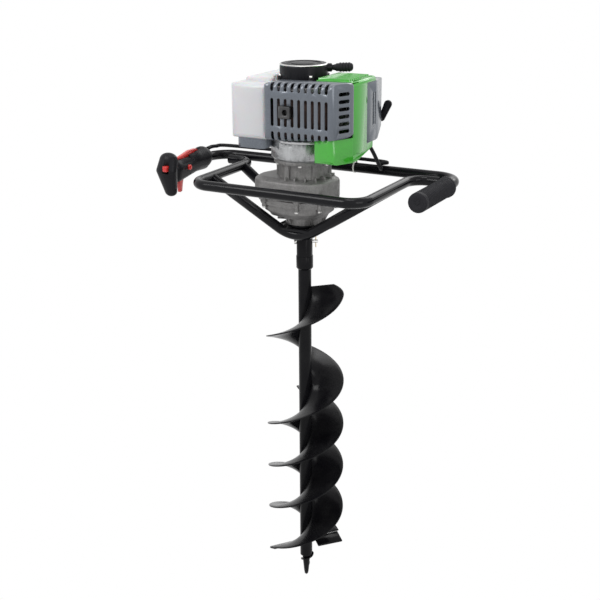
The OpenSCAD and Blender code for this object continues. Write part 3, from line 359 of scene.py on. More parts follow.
def dust_group():
    """Colour under fine dust that lies on faces that look up"""
    found = bpy.data.node_groups.get("Settled dust")
    if found:
        return found
    group, nodes, links, given, out = new_group(
        "ShaderNodeTree", "Settled dust",
        [("Vector", "Vector"), ("Amount", "Float", 0.1), ("Colour", "Color", (0.5, 0.5, 0.5, 1)),
         ("Dust", "Color", (0.4, 0.37, 0.33, 1))],
        [("Colour", "Color")])
    source = given.outputs
    split = nodes.new("ShaderNodeSeparateXYZ")
    links.new(nodes.new("ShaderNodeNewGeometry").outputs["Normal"], split.inputs["Vector"])
    upward = ramp(nodes, links, split.outputs["Z"], 0.3, 1.0)
    specks = calculate(nodes, links, "MULTIPLY", upward, noise(nodes, links, source["Vector"], 60.0))
    cover = calculate(nodes, links, "MULTIPLY", specks, source["Amount"])
    links.new(mixed(nodes, links, "RGBA", cover, source["Colour"], source["Dust"]), out.inputs["Colour"])
    return group


def finish(name, colour, worn=None, smooth=0.3, rough=0.5, metallic=0.0, grain=900.0, grain_mix=0.3,
           patches=12.0, bump=0.05, bump_depth=0.0003, coat=0.0, dust=0.08, stretch=(1, 1, 1),
           specular=0.5, subsurface=0.0):
    """A material of one finish, with uneven colour, grain and settled dust"""
    found = bpy.data.materials.get(name)
    if found:
        return found
    material = bpy.data.materials.new(name)
    material.use_nodes = True
    nodes, links = material.node_tree.nodes, material.node_tree.links
    nodes.clear()
    out = nodes.new("ShaderNodeOutputMaterial")
    shader = nodes.new("ShaderNodeBsdfPrincipled")
    links.new(shader.outputs["BSDF"], out.inputs["Surface"])
    place = nodes.new("ShaderNodeTexCoord")
    mapping = nodes.new("ShaderNodeMapping")
    mapping.inputs["Scale"].default_value = stretch
    links.new(place.outputs["Object"], mapping.inputs["Vector"])
    surface = nodes.new("ShaderNodeGroup")
    surface.node_tree = surface_group()
    links.new(mapping.outputs["Vector"], surface.inputs["Vector"])
    worn = worn or tuple(min(1.0, c * 1.25 + 0.004) for c in colour)
    set_values(surface, {"Patch scale": patches, "Grain scale": grain, "Grain mix": grain_mix,
                         "Colour": (*colour, 1), "Worn colour": (*worn, 1), "Smooth": smooth, "Rough": rough})
    dusty = nodes.new("ShaderNodeGroup")
    dusty.node_tree = dust_group()
    dusty.inputs["Amount"].default_value = dust
    links.new(place.outputs["Object"], dusty.inputs["Vector"])
    links.new(surface.outputs["Colour"], dusty.inputs["Colour"])
    links.new(dusty.outputs["Colour"], shader.inputs["Base Color"])
    links.new(surface.outputs["Roughness"], shader.inputs["Roughness"])
    relief = nodes.new("ShaderNodeBump")
    set_values(relief, {"Strength": bump, "Distance": bump_depth})
    links.new(surface.outputs["Height"], relief.inputs["Height"])
    links.new(relief.outputs["Normal"], shader.inputs["Normal"])
    set_values(shader, {"Metallic": metallic, "Coat Weight": coat, "Coat Roughness": 0.06,
                        "Specular IOR Level": specular, "Subsurface Weight": subsurface,
                        "Subsurface Scale": 0.01})
    return material


def frame_paint():
    return finish("Frame gloss paint", colours().frame_paint, worn=(0.01, 0.01, 0.012), smooth=0.1, rough=0.2,
                  grain=260, grain_mix=0.4, bump=0.07, dust=0.008, specular=0.16)


def bit_paint():
    return finish("Bit gloss paint", colours().frame_paint, worn=(0.011, 0.011, 0.012), smooth=0.14,
                  rough=0.32, grain=320, bump=0.12, dust=0.008, patches=25, specular=0.11)


def cast_metal():
    return finish("Cast aluminium", colours().casting, worn=(0.52, 0.52, 0.53), smooth=0.32, rough=0.55,
                  metallic=0.8, grain=700, grain_mix=0.45, bump=0.5, bump_depth=0.0006, dust=0.05, patches=38)


def gearbox_casting():
    return finish("Rough cast aluminium", (0.15, 0.145, 0.145), worn=(0.3, 0.295, 0.29), smooth=0.42,
                  rough=0.66, metallic=0.55, grain=520, grain_mix=0.6, bump=0.7, bump_depth=0.0008, dust=0.03,
                  patches=70)


def turned_casting():
    return finish("Turned aluminium", (0.54, 0.54, 0.55), worn=(0.62, 0.62, 0.63), smooth=0.3, rough=0.46,
                  metallic=0.85, grain=900, grain_mix=0.25, stretch=(1, 1, 0.2), bump=0.05, dust=0.03)


def bright_casting():
    return finish("Bright aluminium", (0.3, 0.305, 0.31), worn=(0.56, 0.57, 0.58), smooth=0.24, rough=0.42,
                  metallic=0.85, grain=700, grain_mix=0.5, bump=0.3, bump_depth=0.0005, dust=0.04, patches=45)


def bright_steel():
    return finish("Plated steel", (0.58, 0.58, 0.58), worn=(0.7, 0.69, 0.66), smooth=0.22, rough=0.4,
                  metallic=1.0, grain=1400, stretch=(1, 1, 0.1), bump=0.08)


def dark_steel():
    return finish("Blackened steel", (0.05, 0.05, 0.053), worn=(0.12, 0.12, 0.12), smooth=0.3, rough=0.5,
                  metallic=0.9, grain=900, bump=0.12)


def brass():
    return finish("Brass wire", (0.66, 0.46, 0.16), worn=(0.75, 0.58, 0.28), smooth=0.2, rough=0.35,
                  metallic=1.0, grain=1200, bump=0.05)


def green_cover():
    return finish("Green moulded cover", colours().green, worn=(0.06, 0.47, 0.035), smooth=0.12, rough=0.24,
                  grain=700, grain_mix=0.25, bump=0.05, coat=0.5, dust=0.05)


def grey_cover():
    return finish("Grey moulded cover", colours().grey, worn=(0.155, 0.175, 0.205), smooth=0.2, rough=0.34,
                  metallic=0.25, grain=1300, grain_mix=0.5, bump=0.1, coat=0.25, dust=0.08)


def black_plastic():
    return finish("Black moulded plastic", colours().black, worn=(0.018, 0.018, 0.021), smooth=0.3, rough=0.5,
                  grain=1500, grain_mix=0.6, bump=0.22, dust=0.012, specular=0.12)


def rubber():
    return finish("Grip rubber", (0.016, 0.016, 0.019), worn=(0.028, 0.028, 0.032), smooth=0.5, rough=0.72,
                  grain=800, grain_mix=0.5, bump=0.3, dust=0.015, specular=0.12)


def red_plastic():
    return finish("Red moulded plastic", colours().red, worn=(0.72, 0.04, 0.03), smooth=0.22, rough=0.36,
                  grain=900, bump=0.06, coat=0.3, dust=0.03)


def tank_plastic():
    return finish("Milky tank plastic", colours().tank, worn=(0.74, 0.74, 0.76), smooth=0.3, rough=0.44,
                  grain=600, bump=0.06, subsurface=0.35, dust=0.04)


def white_plastic():
    return finish("White nylon", (0.8, 0.8, 0.76), smooth=0.35, rough=0.5, grain=900, bump=0.06)


def scorched_steel():
    return finish("Scorched muffler steel", (0.03, 0.016, 0.014), worn=(0.09, 0.05, 0.04), smooth=0.4,
                  rough=0.7, metallic=0.3, grain=500, bump=0.3, patches=30)


def ceramic():
    return finish("Plug ceramic", (0.82, 0.82, 0.78), smooth=0.1, rough=0.2, grain=500, bump=0.02, coat=0.5)


CAD_FINISH = {node: make for make, nodes in (
    (frame_paint, ("handlebar", "front_loop", "front_brace", "rear_brace", "base_plate", "mounting_ring")),
    (bit_paint, ("bit_tube", "bit_socket", "main_flight", "second_flight", "cutter_blades", "pilot_point")),
    (bright_steel, ("plate_bolts", "gearbox_bolts", "drive_pin", "output_shaft", "output_gear",
                    "first_layshaft", "second_layshaft", "input_pinion", "shaft_bearings", "clutch_drum",
                    "clutch_hub", "crankshaft")),
    (dark_steel, ("grip_screws", "front_shoe", "rear_shoe", "exhaust_outlet")),
    (brass, ("r_clip", "throttle_lever")),
    (scorched_steel, ("muffler",)),
    (cast_metal, ("flywheel", "cylinder", "carburettor")),
    (gearbox_casting, ("gearbox_cover", "gearbox_housing")),
    (bright_casting, ("clutch_housing",)),
    (turned_casting, ("crankcase",)),
    (green_cover, ("engine_cowl",)),
    (grey_cover, ("muffler_guard", "filter_cover", "tank_guard")),
    (tank_plastic, ("fuel_tank",)),
    (black_plastic, ("grip_left_half", "grip_right_half", "control_conduit", "choke_lever", "fuel_cap",
                     "starter_cover")),
    (red_plastic, ("throttle_trigger", "lockoff_lever", "start_button", "stop_switch")),
    (white_plastic, ("cable_ties", "starter_reel")),
    (rubber, ("right_grip", "shaft_seals", "plug_cap", "starter_handle")),
    (ceramic, ("spark_plug",)),
) for node in nodes}


# Mesh helpers

def new_object(name, mesh):
    """An object with a mesh, linked to the scene"""
    obj = bpy.data.objects.new(name, mesh)
    bpy.context.scene.collection.objects.link(obj)
    return obj


def place_mesh(name, mesh, body, material, node=None):
    """Puts a finished mesh in the scene, on its body, in place of a CAD node if one is named"""
    obj = new_object(name, mesh)
    mesh.materials.clear()
    mesh.materials.append(material)
    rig.ride(obj, body)
    if node:
        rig.replaces(obj, node)


def dress(node, mesh):
    """Puts a finished mesh in place of a CAD node, on the node's body and with its finish"""
    place_mesh(node + "_dressed", mesh, BODY_OF[node], CAD_FINISH[node](), node)


def shade(mesh, angle):
    """Shades a mesh smooth, but for edges sharper than an angle in degrees"""
    mesh.polygons.foreach_set("use_smooth", [True] * len(mesh.polygons))
    mesh.set_sharp_from_angle(angle=math.radians(angle))


def baked(obj):
    """The evaluated mesh of an object with live modifiers, which is used up"""
    graph = bpy.context.evaluated_depsgraph_get()
    mesh = bpy.data.meshes.new_from_object(obj.evaluated_get(graph), depsgraph=graph)
    obj.modifiers.clear()
    bpy.data.objects.remove(obj)
    return mesh


def rounded(name, source, edge, angle=32, segments=2):
    """A welded copy of a mesh with its edges rounded"""
    bm = bmesh.new()
    bm.from_mesh(source)
    bmesh.ops.remove_doubles(bm, verts=bm.verts, dist=2e-6)
    bmesh.ops.dissolve_limit(bm, angle_limit=math.radians(0.6), verts=bm.verts, edges=bm.edges,
                             delimit={"NORMAL"})
    mesh = bpy.data.meshes.new(name)
    bm.to_mesh(mesh)
    bm.free()
    shade(mesh, angle)
    if edge:
        helper = new_object(name + "_helper", mesh)
        bevel = helper.modifiers.new("Round", "BEVEL")
        bevel.width = edge
        bevel.segments = segments
        bevel.limit_method = "ANGLE"
        bevel.angle_limit = math.radians(angle)
        bevel.use_clamp_overlap = True
        bevel.harden_normals = True
        bpy.context.view_layer.update()
        mesh = baked(helper)
        shade(mesh, 40)
    return mesh


def softened(node, edge, angle=32, segments=2):
    """A copy of a CAD node with its edges rounded, in place of the node"""
    dress(node, rounded(node + "_soft", frame["nodes"][node].data, edge, angle, segments))


def tangent(a, b):
    """Direction from both centres to the line that touches two circles (x, y, radius)"""
    lean = math.acos((a[2] - b[2]) / math.dist(a[:2], b[:2]))
    return math.atan2(b[1] - a[1], b[0] - a[0]) - lean


def wrapped(circles, grow=0.0):
    """Points round a convex outline of circles (x, y, radius), anticlockwise"""
    circles = [(x, y, r + grow) for x, y, r in circles]
    points = []
    for i, (x, y, r) in enumerate(circles):
        start = tangent(circles[i - 1], circles[i])
        turn = (tangent(circles[i], circles[(i + 1) % len(circles)]) - start) % (2 * math.pi)
        steps = max(1, round(turn / 0.13))
        points += [(x + r * math.cos(start + turn * k / steps), y + r * math.sin(start + turn * k / steps))
                   for k in range(steps + 1)]
    return points


def circle(x, y, radius, sides=72):
    """Points round a whole circle"""
    return [(x + radius * math.cos(2 * math.pi * k / sides), y + radius * math.sin(2 * math.pi * k / sides))
            for k in range(sides)]


def slot_outline(a, b, width):
    """A slot with round ends between two points"""
    return wrapped([(*a, width / 2), (*b, width / 2)])


def box_outline(x, y, low, high=None):
    """A rectangle with rounded corners, whose corners at the high end of x may have another radius"""
    high = high or low
    (x0, x1), (y0, y1) = x, y
    return wrapped([(x0 + low, y0 + low, low), (x1 - high, y0 + high, high), (x1 - high, y1 - high, high),
                    (x0 + low, y1 - low, low)])


def around(x, y, radius, turns):
    """Points on a circle, at turns in degrees"""
    return [(x + radius * math.cos(a), y + radius * math.sin(a)) for a in map(math.radians, turns)]


def closed_mesh(name, bm):
    """The mesh of a built shape, its faces turned outwards"""
    bmesh.ops.recalc_face_normals(bm, faces=bm.faces)
    mesh = bpy.data.meshes.new(name)
    bm.to_mesh(mesh)
    bm.free()
    return mesh


def bridge(bm, rings, capped=True):
    """Joins rings of points, of which a ring of one point is a tip, and may close both ends"""
    for low, high in zip(rings, rings[1:]):
        sides = max(len(low), len(high))
        for i in range(sides):
            j = (i + 1) % sides
            corners = [low[i % len(low)], low[j % len(low)], high[j % len(high)], high[i % len(high)]]
            bm.faces.new(list(dict.fromkeys(corners)))
    if capped:
        bm.faces.new(rings[0])
        bm.faces.new(rings[-1])


def prisms(name, *shapes):
    """An object of outlines pushed along an axis: (points, axis, low, high), in millimetres"""
    bm = bmesh.new()
    for points, axis, low, high in shapes:
        bridge(bm, [[bm.verts.new(Vector(point[:axis] + (level,) + point[axis:]) * MM) for point in points]
                    for level in (low, high)])
    return new_object(name, closed_mesh(name, bm))


def block(x, y, z):
    """A box between two ends on each axis, as prisms takes it"""
    return [(x[0], y[0]), (x[1], y[0]), (x[1], y[1]), (x[0], y[1])], Z, z[0], z[1]


def combined(operation, base, *tools):
    """An object joined with others by exact booleans, all of them used up"""
    for tool in tools:
        modifier = base.modifiers.new("Combine", "BOOLEAN")
        modifier.operation = operation
        modifier.object = tool
        modifier.solver = "EXACT"
    bpy.context.view_layer.update()
    name = base.name
    result = new_object(name, baked(base))
    for tool in tools:
        bpy.data.objects.remove(tool)
    return result


def stacked(name, circles, levels):
    """An object with an outline of circles grown or shrunk from level to level: (height, growth)"""
    bm = bmesh.new()
    bridge(bm, [[bm.verts.new(Vector((x, y, z)) * MM) for x, y in wrapped(circles, grow)]
                for z, grow in levels])
    return new_object(name, closed_mesh(name, bm))


def form(name, *shapes):
    """The solid that several prisms have in common"""
    return combined("INTERSECT", *[prisms(name, shape) for shape in shapes])


def place_form(node, helper, edge=CLAMPED_EDGE, angle=32):
    """Puts a finished form, with its edges rounded, in place of its CAD node"""
    mesh = rounded(node + "_form", helper.data, edge, angle)
    bpy.data.objects.remove(helper)
    dress(node, mesh)


def lathe(name, profile, start, direction, sides=64):
    """A turned mesh from a profile of (distance along the axis, radius), in millimetres"""
    axis = Vector(direction).normalized()
    side = axis.orthogonal().normalized()
    other = axis.cross(side)
    bm = bmesh.new()
    rings = []
    for along, radius in profile:
        centre = Vector(start) * MM + axis * along * MM
        turns = (2 * math.pi * i / sides for i in range(sides if radius else 1))
        rings.append([bm.verts.new(centre + (side * math.cos(a) + other * math.sin(a)) * radius * MM)
                      for a in turns])
    bridge(bm, rings, capped=False)
    mesh = closed_mesh(name, bm)
    shade(mesh, 40)
    return mesh


def turned(name, profile, start, direction, sides):
    """An object of a turned mesh"""
    return new_object(name, lathe(name, profile, start, direction, sides))


def smooth_route(points, step):
    """Points in metres along a smooth curve through a route in millimetres"""
    route = [Vector(p) * MM for p in points]
    route = [2 * route[0] - route[1]] + route + [2 * route[-1] - route[-2]]
    fine = []
    for i in range(1, len(route) - 2):
        a, b, c, d = route[i - 1:i + 3]
        for k in range(40):
            t = k / 40
            fine.append(0.5 * (2 * b + (c - a) * t + (2 * a - 5 * b + 4 * c - d) * t * t
                               + (3 * b - a - 3 * c + d) * t ** 3))
    fine.append(route[-2])
    out, carried = [fine[0]], 0.0
    for a, b in zip(fine, fine[1:]):
        length = (b - a).length
        while carried + length >= step:
            a = a + (b - a).normalized() * (step - carried)
            length = (b - a).length
            out.append(a.copy())
            carried = 0.0
        carried += length
    out.append(fine[-1])
    return out


def sweep(name, route, radius, sides=16):
    """A closed tube along points; radius is a function of the distance travelled"""
    bm = bmesh.new()
    rings, up, travelled = [], None, 0.0
    for i, point in enumerate(route):
        ahead = (route[min(i + 1, len(route) - 1)] - route[max(i - 1, 0)]).normalized()
        up = ahead.orthogonal() if up is None else up - ahead * up.dot(ahead)
        up.normalize()
        side = ahead.cross(up)
        if i:
            travelled += (point - route[i - 1]).length
        r = radius(travelled)
        rings.append([bm.verts.new(point + (up * math.cos(a) + side * math.sin(a)) * r)
                      for a in (2 * math.pi * k / sides for k in range(sides))])
    bridge(bm, rings)
    mesh = closed_mesh(name, bm)
    shade(mesh, 60)
    return mesh


# Geometry node trees

def run_tree(name, tree, values, points=()):
    """An object on which a live modifier runs a tree with named values, from points in metres"""
    mesh = bpy.data.meshes.new(name)
    mesh.from_pydata(points, [], [])
    helper = new_object(name, mesh)
    modifier = helper.modifiers.new("Make", "NODES")
    modifier.node_group = tree
    for item in tree.interface.items_tree:
        if item.item_type == "SOCKET" and item.in_out == "INPUT" and item.name in values:
            modifier[item.identifier] = values[item.name]
    bpy.context.view_layer.update()
    return helper


def end_tree(nodes, links, geometry, material, out):
    """Ends a tree in Realize Instances and Set Material"""
    realize = nodes.new("GeometryNodeRealizeInstances")
    paint = nodes.new("GeometryNodeSetMaterial")
    links.new(geometry, realize.inputs["Geometry"])
    links.new(realize.outputs["Geometry"], paint.inputs["Geometry"])
    links.new(material, paint.inputs["Material"])
    links.new(paint.outputs["Geometry"], out.inputs["Geometry"])


def flight_tree():
    """A screw flight: a strip wound round the axis, whose first fourteenth of a turn is rounded off"""
    found = bpy.data.node_groups.get("Screw flight")
    if found:
        return found
    tree, nodes, links, given, out = new_group(
        "GeometryNodeTree", "Screw flight",
        [("Geometry", "Geometry"), ("Inner radius", "Float"), ("Outer radius", "Float"), ("Lead", "Float"),
         ("Turns", "Float"), ("First turn", "Float"), ("Start angle", "Float"), ("Depth", "Float"),
         ("Taper", "Float"), ("Material", "Material")],
        [("Geometry", "Geometry")])
    grid = nodes.new("GeometryNodeMeshGrid")
    set_values(grid, {"Size X": 1, "Size Y": 1, "Vertices X": 10, "Vertices Y": 330})
    split = nodes.new("ShaderNodeSeparateXYZ")
    links.new(nodes.new("GeometryNodeInputPosition").outputs["Position"], split.inputs["Vector"])
    inner, outer, lead, turns, first, start, depth, taper = given.outputs[1:9]

    def calc(operation, a, b=None):
        return calculate(nodes, links, operation, a, b)

    across = calc("ADD", split.outputs["X"], 0.5)
    wound = calc("MULTIPLY", calc("ADD", split.outputs["Y"], 0.5), calc("SUBTRACT", turns, first))
    turn = calc("ADD", wound, first)
    angle = calc("SUBTRACT", start, calc("MULTIPLY", turn, 2 * math.pi))
    corner = calc("MAXIMUM", calc("SUBTRACT", 1.0, calc("MULTIPLY", wound, 14.0)), 0.0)
    bite = calc("MULTIPLY", calc("MULTIPLY", corner, corner), calc("MULTIPLY", outer, 0.24))
    reach = calc("SUBTRACT", calc("SUBTRACT", outer, bite), calc("MULTIPLY", wound, taper))
    radius = calc("ADD", inner, calc("MULTIPLY", across, calc("SUBTRACT", reach, inner)))
    place = nodes.new("ShaderNodeCombineXYZ")
    links.new(calc("MULTIPLY", radius, calc("COSINE", angle)), place.inputs["X"])
    links.new(calc("MULTIPLY", radius, calc("SINE", angle)), place.inputs["Y"])
    links.new(calc("SUBTRACT", calc("MULTIPLY", depth, -1.0), calc("MULTIPLY", turn, lead)),
              place.inputs["Z"])
    move = nodes.new("GeometryNodeSetPosition")
    links.new(grid.outputs["Mesh"], move.inputs["Geometry"])
    links.new(place.outputs["Vector"], move.inputs["Position"])
    end_tree(nodes, links, move.outputs["Geometry"], given.outputs["Material"], out)
    return tree


def scatter_tree():
    """One shape on every point, all turned alike"""
    tree, nodes, links, given, out = new_group(
        "GeometryNodeTree", "Fasteners on points",
        [("Geometry", "Geometry"), ("Shape", "Object"), ("Turn", "Rotation"), ("Material", "Material")],
        [("Geometry", "Geometry")])
    info = nodes.new("GeometryNodeObjectInfo")
    spread = nodes.new("GeometryNodeInstanceOnPoints")
    links.new(given.outputs["Shape"], info.inputs["Object"])
    links.new(given.outputs["Geometry"], spread.inputs["Points"])
    links.new(info.outputs["Geometry"], spread.inputs["Instance"])
    links.new(given.outputs["Turn"], spread.inputs["Rotation"])
    end_tree(nodes, links, spread.outputs["Instances"], given.outputs["Material"], out)
    return tree


def scattered(name, shape, points, turn, body, material):
    """Copies of a mesh on points in millimetres, turned alike, as one plain piece"""
    model = new_object(name + "_shape", shape)
    mesh = baked(run_tree(name, scatter_tree(), {"Shape": model, "Turn": turn, "Material": material},
                          [Vector(p) * MM for p in points]))
    bpy.data.objects.remove(model)
    shade(mesh, 40)
    place_mesh(name, mesh, body, material)


def wound_plate(name, thick, lengths, turns, first, start):
    """The plain mesh of a flight, as a plate with its edges rounded, from lengths in millimetres"""
    values = {label: length * MM for label, length in lengths.items()}
    values.update({"Turns": turns, "First turn": first, "Start angle": start, "Material": bit_paint()})
    helper = run_tree(name + "_strip", flight_tree(), values)
    thicken = helper.modifiers.new("Plate", "SOLIDIFY")
    thicken.thickness = thick * MM
    thicken.offset = 0
    soften = helper.modifiers.new("Edge", "BEVEL")
    soften.width = thick * 0.3 * MM
    soften.segments = 2
    soften.angle_limit = math.radians(50)
    bpy.context.view_layer.update()
    mesh = baked(helper)
    shade(mesh, 40)
    return mesh


def cap_screw(radius):
    """A socket-head screw, its top towards +Z, with its origin under the head"""
    shares = [(0, 0), (0, 1), (0.75, 1), (0.95, 0.85), (0.95, 0.5), (0.5, 0.45), (0.5, 0)]
    return lathe("cap_screw", [(radius * a, radius * b) for a, b in shares], (0, 0, 0), (0, 0, 1), 24)


# Making steps

def dress_solids():
    """Gives every solid its finish"""
    for node, make in CAD_FINISH.items():
        obj = frame["nodes"][node]
        obj.data.materials.clear()
        obj.data.materials.append(make())


def dress_tubes():
    """Smooth frame tubes and shaft, with the edges of the plate, the ring and the sleeve rounded"""
    for node in ("handlebar", "front_loop", "front_brace", "rear_brace", "bit_tube"):
        softened(node, 0, angle=50)
    for node in ("base_plate", "mounting_ring", "bit_socket"):
        softened(node, 0.0006)


def dress_flights():
    """Winds both flights of the bit, half a turn apart"""
    for node, first, turned_by in (("main_flight", 0.0, 0.0), ("second_flight", SECOND_START, math.pi)):
        dress(node, wound_plate(node, FLIGHT_PLATE, {
            "Inner radius": TUBE_RADIUS, "Outer radius": FLIGHT_RADIUS, "Lead": FLIGHT_LEAD,
            "Depth": FLIGHT_TOP + 2, "Taper": 0}, FLIGHT_TURNS, first, FLIGHT_START + turned_by))


def dress_point():
    """Cutter blades under the ends of the flights, and the point with its own small flight"""
    end = FLIGHT_START - 2 * math.pi * FLIGHT_TURNS
    low = FLIGHT_LOW + FLIGHT_PLATE
    blade = prisms("blades", (BLADE, Z, -BLADE_THICK, 0))
    bm = bmesh.new()
    for turn in (0, math.pi):
        part = blade.data.copy()
        part.transform(Matrix.Rotation(end + turn, 4, "Z") @ Matrix.Translation((0, 0, -low * MM))
                       @ Matrix.Rotation(BLADE_TILT, 4, "X"))
        bm.from_mesh(part)
    bpy.data.objects.remove(blade)
    dress("cutter_blades", rounded("cutter_blades_form", closed_mesh("cutter_pair", bm), CLAMPED_EDGE))
    profile = [(low - 20, 0), (low - 20, TUBE_RADIUS), (HUB_LOW - 2, TUBE_RADIUS), (HUB_LOW, 14),
               (HUB_LOW, 11), (TIP_LOW - 16, 6.5), (TIP_LOW - 6, 5), (TIP_LOW - 0.2, 0)]
    dress("pilot_point", lathe("hub", profile, (0, 0, 0), (0, 0, -1), 40))
    thread = wound_plate("point_flight", 3.0, {
        "Inner radius": 5, "Outer radius": 21, "Lead": (TIP_LOW - HUB_LOW - 6) / POINT_TURNS,
        "Depth": HUB_LOW - 4, "Taper": 11}, POINT_TURNS, 0.0, end)
    place_mesh("point_flight", thread, "bit", bit_paint())


def cad_helper(name, node):
    """An object with a welded copy of a CAD node's mesh"""
    return new_object(name, rounded(name, frame["nodes"][node].data, 0))


def dress_gearbox():
    """Cast gearbox: a wide block with bosses round its bolts, over a cover that narrows downwards"""
    def case_room(name):
        return prisms(name, (wrapped(CASE, -1), Z, 60, 109.5))

    edge = sizes().casting_edge
    block_top = combined("DIFFERENCE", stacked("block", BLOCK, BLOCK_LEVELS), case_room("case_room"),
                         prisms("neck_room", (circle(0, 0, 61), Z, 109, 180)))
    spots = []
    for lobe, outside, turns in POSTS:
        x, y, r = CASE[lobe]
        spots += around(x, y, r + outside, turns)
    posts = prisms("posts", *[(circle(x, y, 7.6, 20), Z, 77, 100) for x, y in spots])
    posts = combined("DIFFERENCE", posts, case_room("post_room"))
    webs = [([(r * math.cos(a + lean), r * math.sin(a + lean)) for r, lean in WEB_CORNERS], Z, 128, 138)
            for a in map(math.radians, range(-100, 40, 20))]
    housing = combined("UNION", cad_helper("housing", "gearbox_housing"), block_top, posts,
                       prisms("webs", *webs))
    place_form("gearbox_housing", housing, edge / 2)
    cover = combined("INTERSECT", cad_helper("cover", "gearbox_cover"), stacked("envelope", CASE, COVER_LEVELS))
    place_form("gearbox_cover", cover, edge / 2)
    for node in ("clutch_housing", "crankcase"):
        softened(node, edge)
    for node in ("gearbox_bolts", "plate_bolts", "drive_pin"):
        softened(node, 0.0005)


def dress_covers():
    """Rounds the fuel cap, the muffler and the choke lever"""
    for node in ("fuel_cap", "muffler", "choke_lever"):
        softened(node, sizes().moulded_edge)


def engine_core(name, wide):
    """The space that the fan shroud and the starter take"""
    return prisms(name, (circle(0, 0, STARTER_RADIUS + wide), Z, SHROUD_TOP - 4, STARTER_TOP + 20))


def guard_form(name, grow):
    """The muffler guard's form, grown or shrunk all round"""
    return form(name, (wrapped(GUARD_PLAN, grow), Z, 200, 420), (wrapped(GUARD_SIDE, grow), X, -80, 200),
                (wrapped(GUARD_FRONT, grow), Y, -160, 0))


def dress_guard():
    """Slotted guard of the muffler, its right side slanting back to the cowl, and the exhaust's outlet"""
    slots = [(slot_outline((x, low), (x, high), SLOT_WIDTH), Y, -140, -101)
             for x in SLOT_COLUMNS for low, high in SLOT_ROWS]
    side = prisms("side_slots", *[(slot_outline((-12, z), (12, z), 8.4), X, -9, 12) for z in SIDE_SLOTS])
    side.location = Vector(SIDE_MIDDLE) * MM
    side.rotation_euler = (0, 0, SIDE_TURN)
    x, z = OUTLET
    guard = combined("DIFFERENCE", guard_form("guard", 0), guard_form("guard_inside", -COVER_WALL),
                     prisms("guard_back", block((-100, 200), (GUARD_BACK, 60), (200, 420))),
                     prisms("front_slots", *slots), side,
                     prisms("outlet_hole", block((x - 16, x + 16), (-130, -112), (z - 15, z + 15))),
                     engine_core("guard_starter", 2))
    place_form("muffler_guard", guard)
    outlet = prisms("outlet", (box_outline((x - 15, x + 15), (z - 14, z + 14), 4), Y, -128, -104))
    place_form("exhaust_outlet", combined("DIFFERENCE", outlet,
                                          prisms("outlet_bore", (circle(x + 2, z, 7.5, 6), Y, -130, -112))))


def dress_cowl():
    """Green cowl: a skirt under the guard, a band over the cylinder and a ribbed lid"""
    def skirt(name, grow):
        return form(name, (wrapped(SKIRT_PLAN, grow), Z, 150, 300), (wrapped(SKIRT_SIDE, grow), X, 60, 190))

    skirt_shell = combined("DIFFERENCE", skirt("skirt", 0), skirt("skirt_inside", -COVER_WALL),
                           guard_form("skirt_top", 0.2),
                           prisms("skirt_trim", block((60, 200), (-200, 60), (246, 300))))
    band = form("band", ([(60, -59.8), (162, -59.8), (162, 12), (60, 12)], Z, 190, 380),
                (wrapped(BAND_FRONT), Y, -70, 70))
    band = combined("DIFFERENCE", band,
                    prisms("band_inside", block((40, 159.5), (-70, 20), (150, 370.4))),
                    prisms("band_open", block((40, 70), (-70, 20), (150, 366))))
    lid = form("lid", (box_outline(LID_X, LID_Y, 8), Z, 362.6, 380),
               (box_outline(LID_X, LID_Z, 12), Y, -70, 90))
    ribs = prisms("ribs", *[block((68, 147), (-54 + 10 * i, -49.5 + 10 * i), (371, 377)) for i in range(11)])
    cowl = combined("UNION", skirt_shell, band, lid, ribs)
    cowl = combined("DIFFERENCE", cowl, prisms("lid_groove", block((149, 155), (-46, 56), (367.5, 390))),
                    engine_core("cowl_starter", 2))
    place_form("engine_cowl", cowl)


def dress_filter():
    """Grey cover of the air filter, its bottom rising to the rear"""
    def filter_form(name, grow):
        return form(name, (wrapped(FILTER_PLAN, grow), Z, 180, 400), (wrapped(FILTER_SIDE, grow), X, 20, 190))

    grooves = prisms("grooves", *[(slot_outline((y, 262), (y, 334), 5), X, 156, 170) for y in (46, 58)])
    cover = combined("DIFFERENCE", filter_form("filter", 0), filter_form("filter_inside", -COVER_WALL),
                     prisms("filter_front", block((0, 200), (-60, 12.5), (150, 400))), grooves,
                     prisms("choke_hole", (circle(140, 258, 5.6, 32), Y, 110, 150)),
                     prisms("conduit_hole", (circle(130, 84, 5.4, 32), Z, 200, 240)),
                     engine_core("filter_starter", 2))
    place_form("filter_cover", cover)


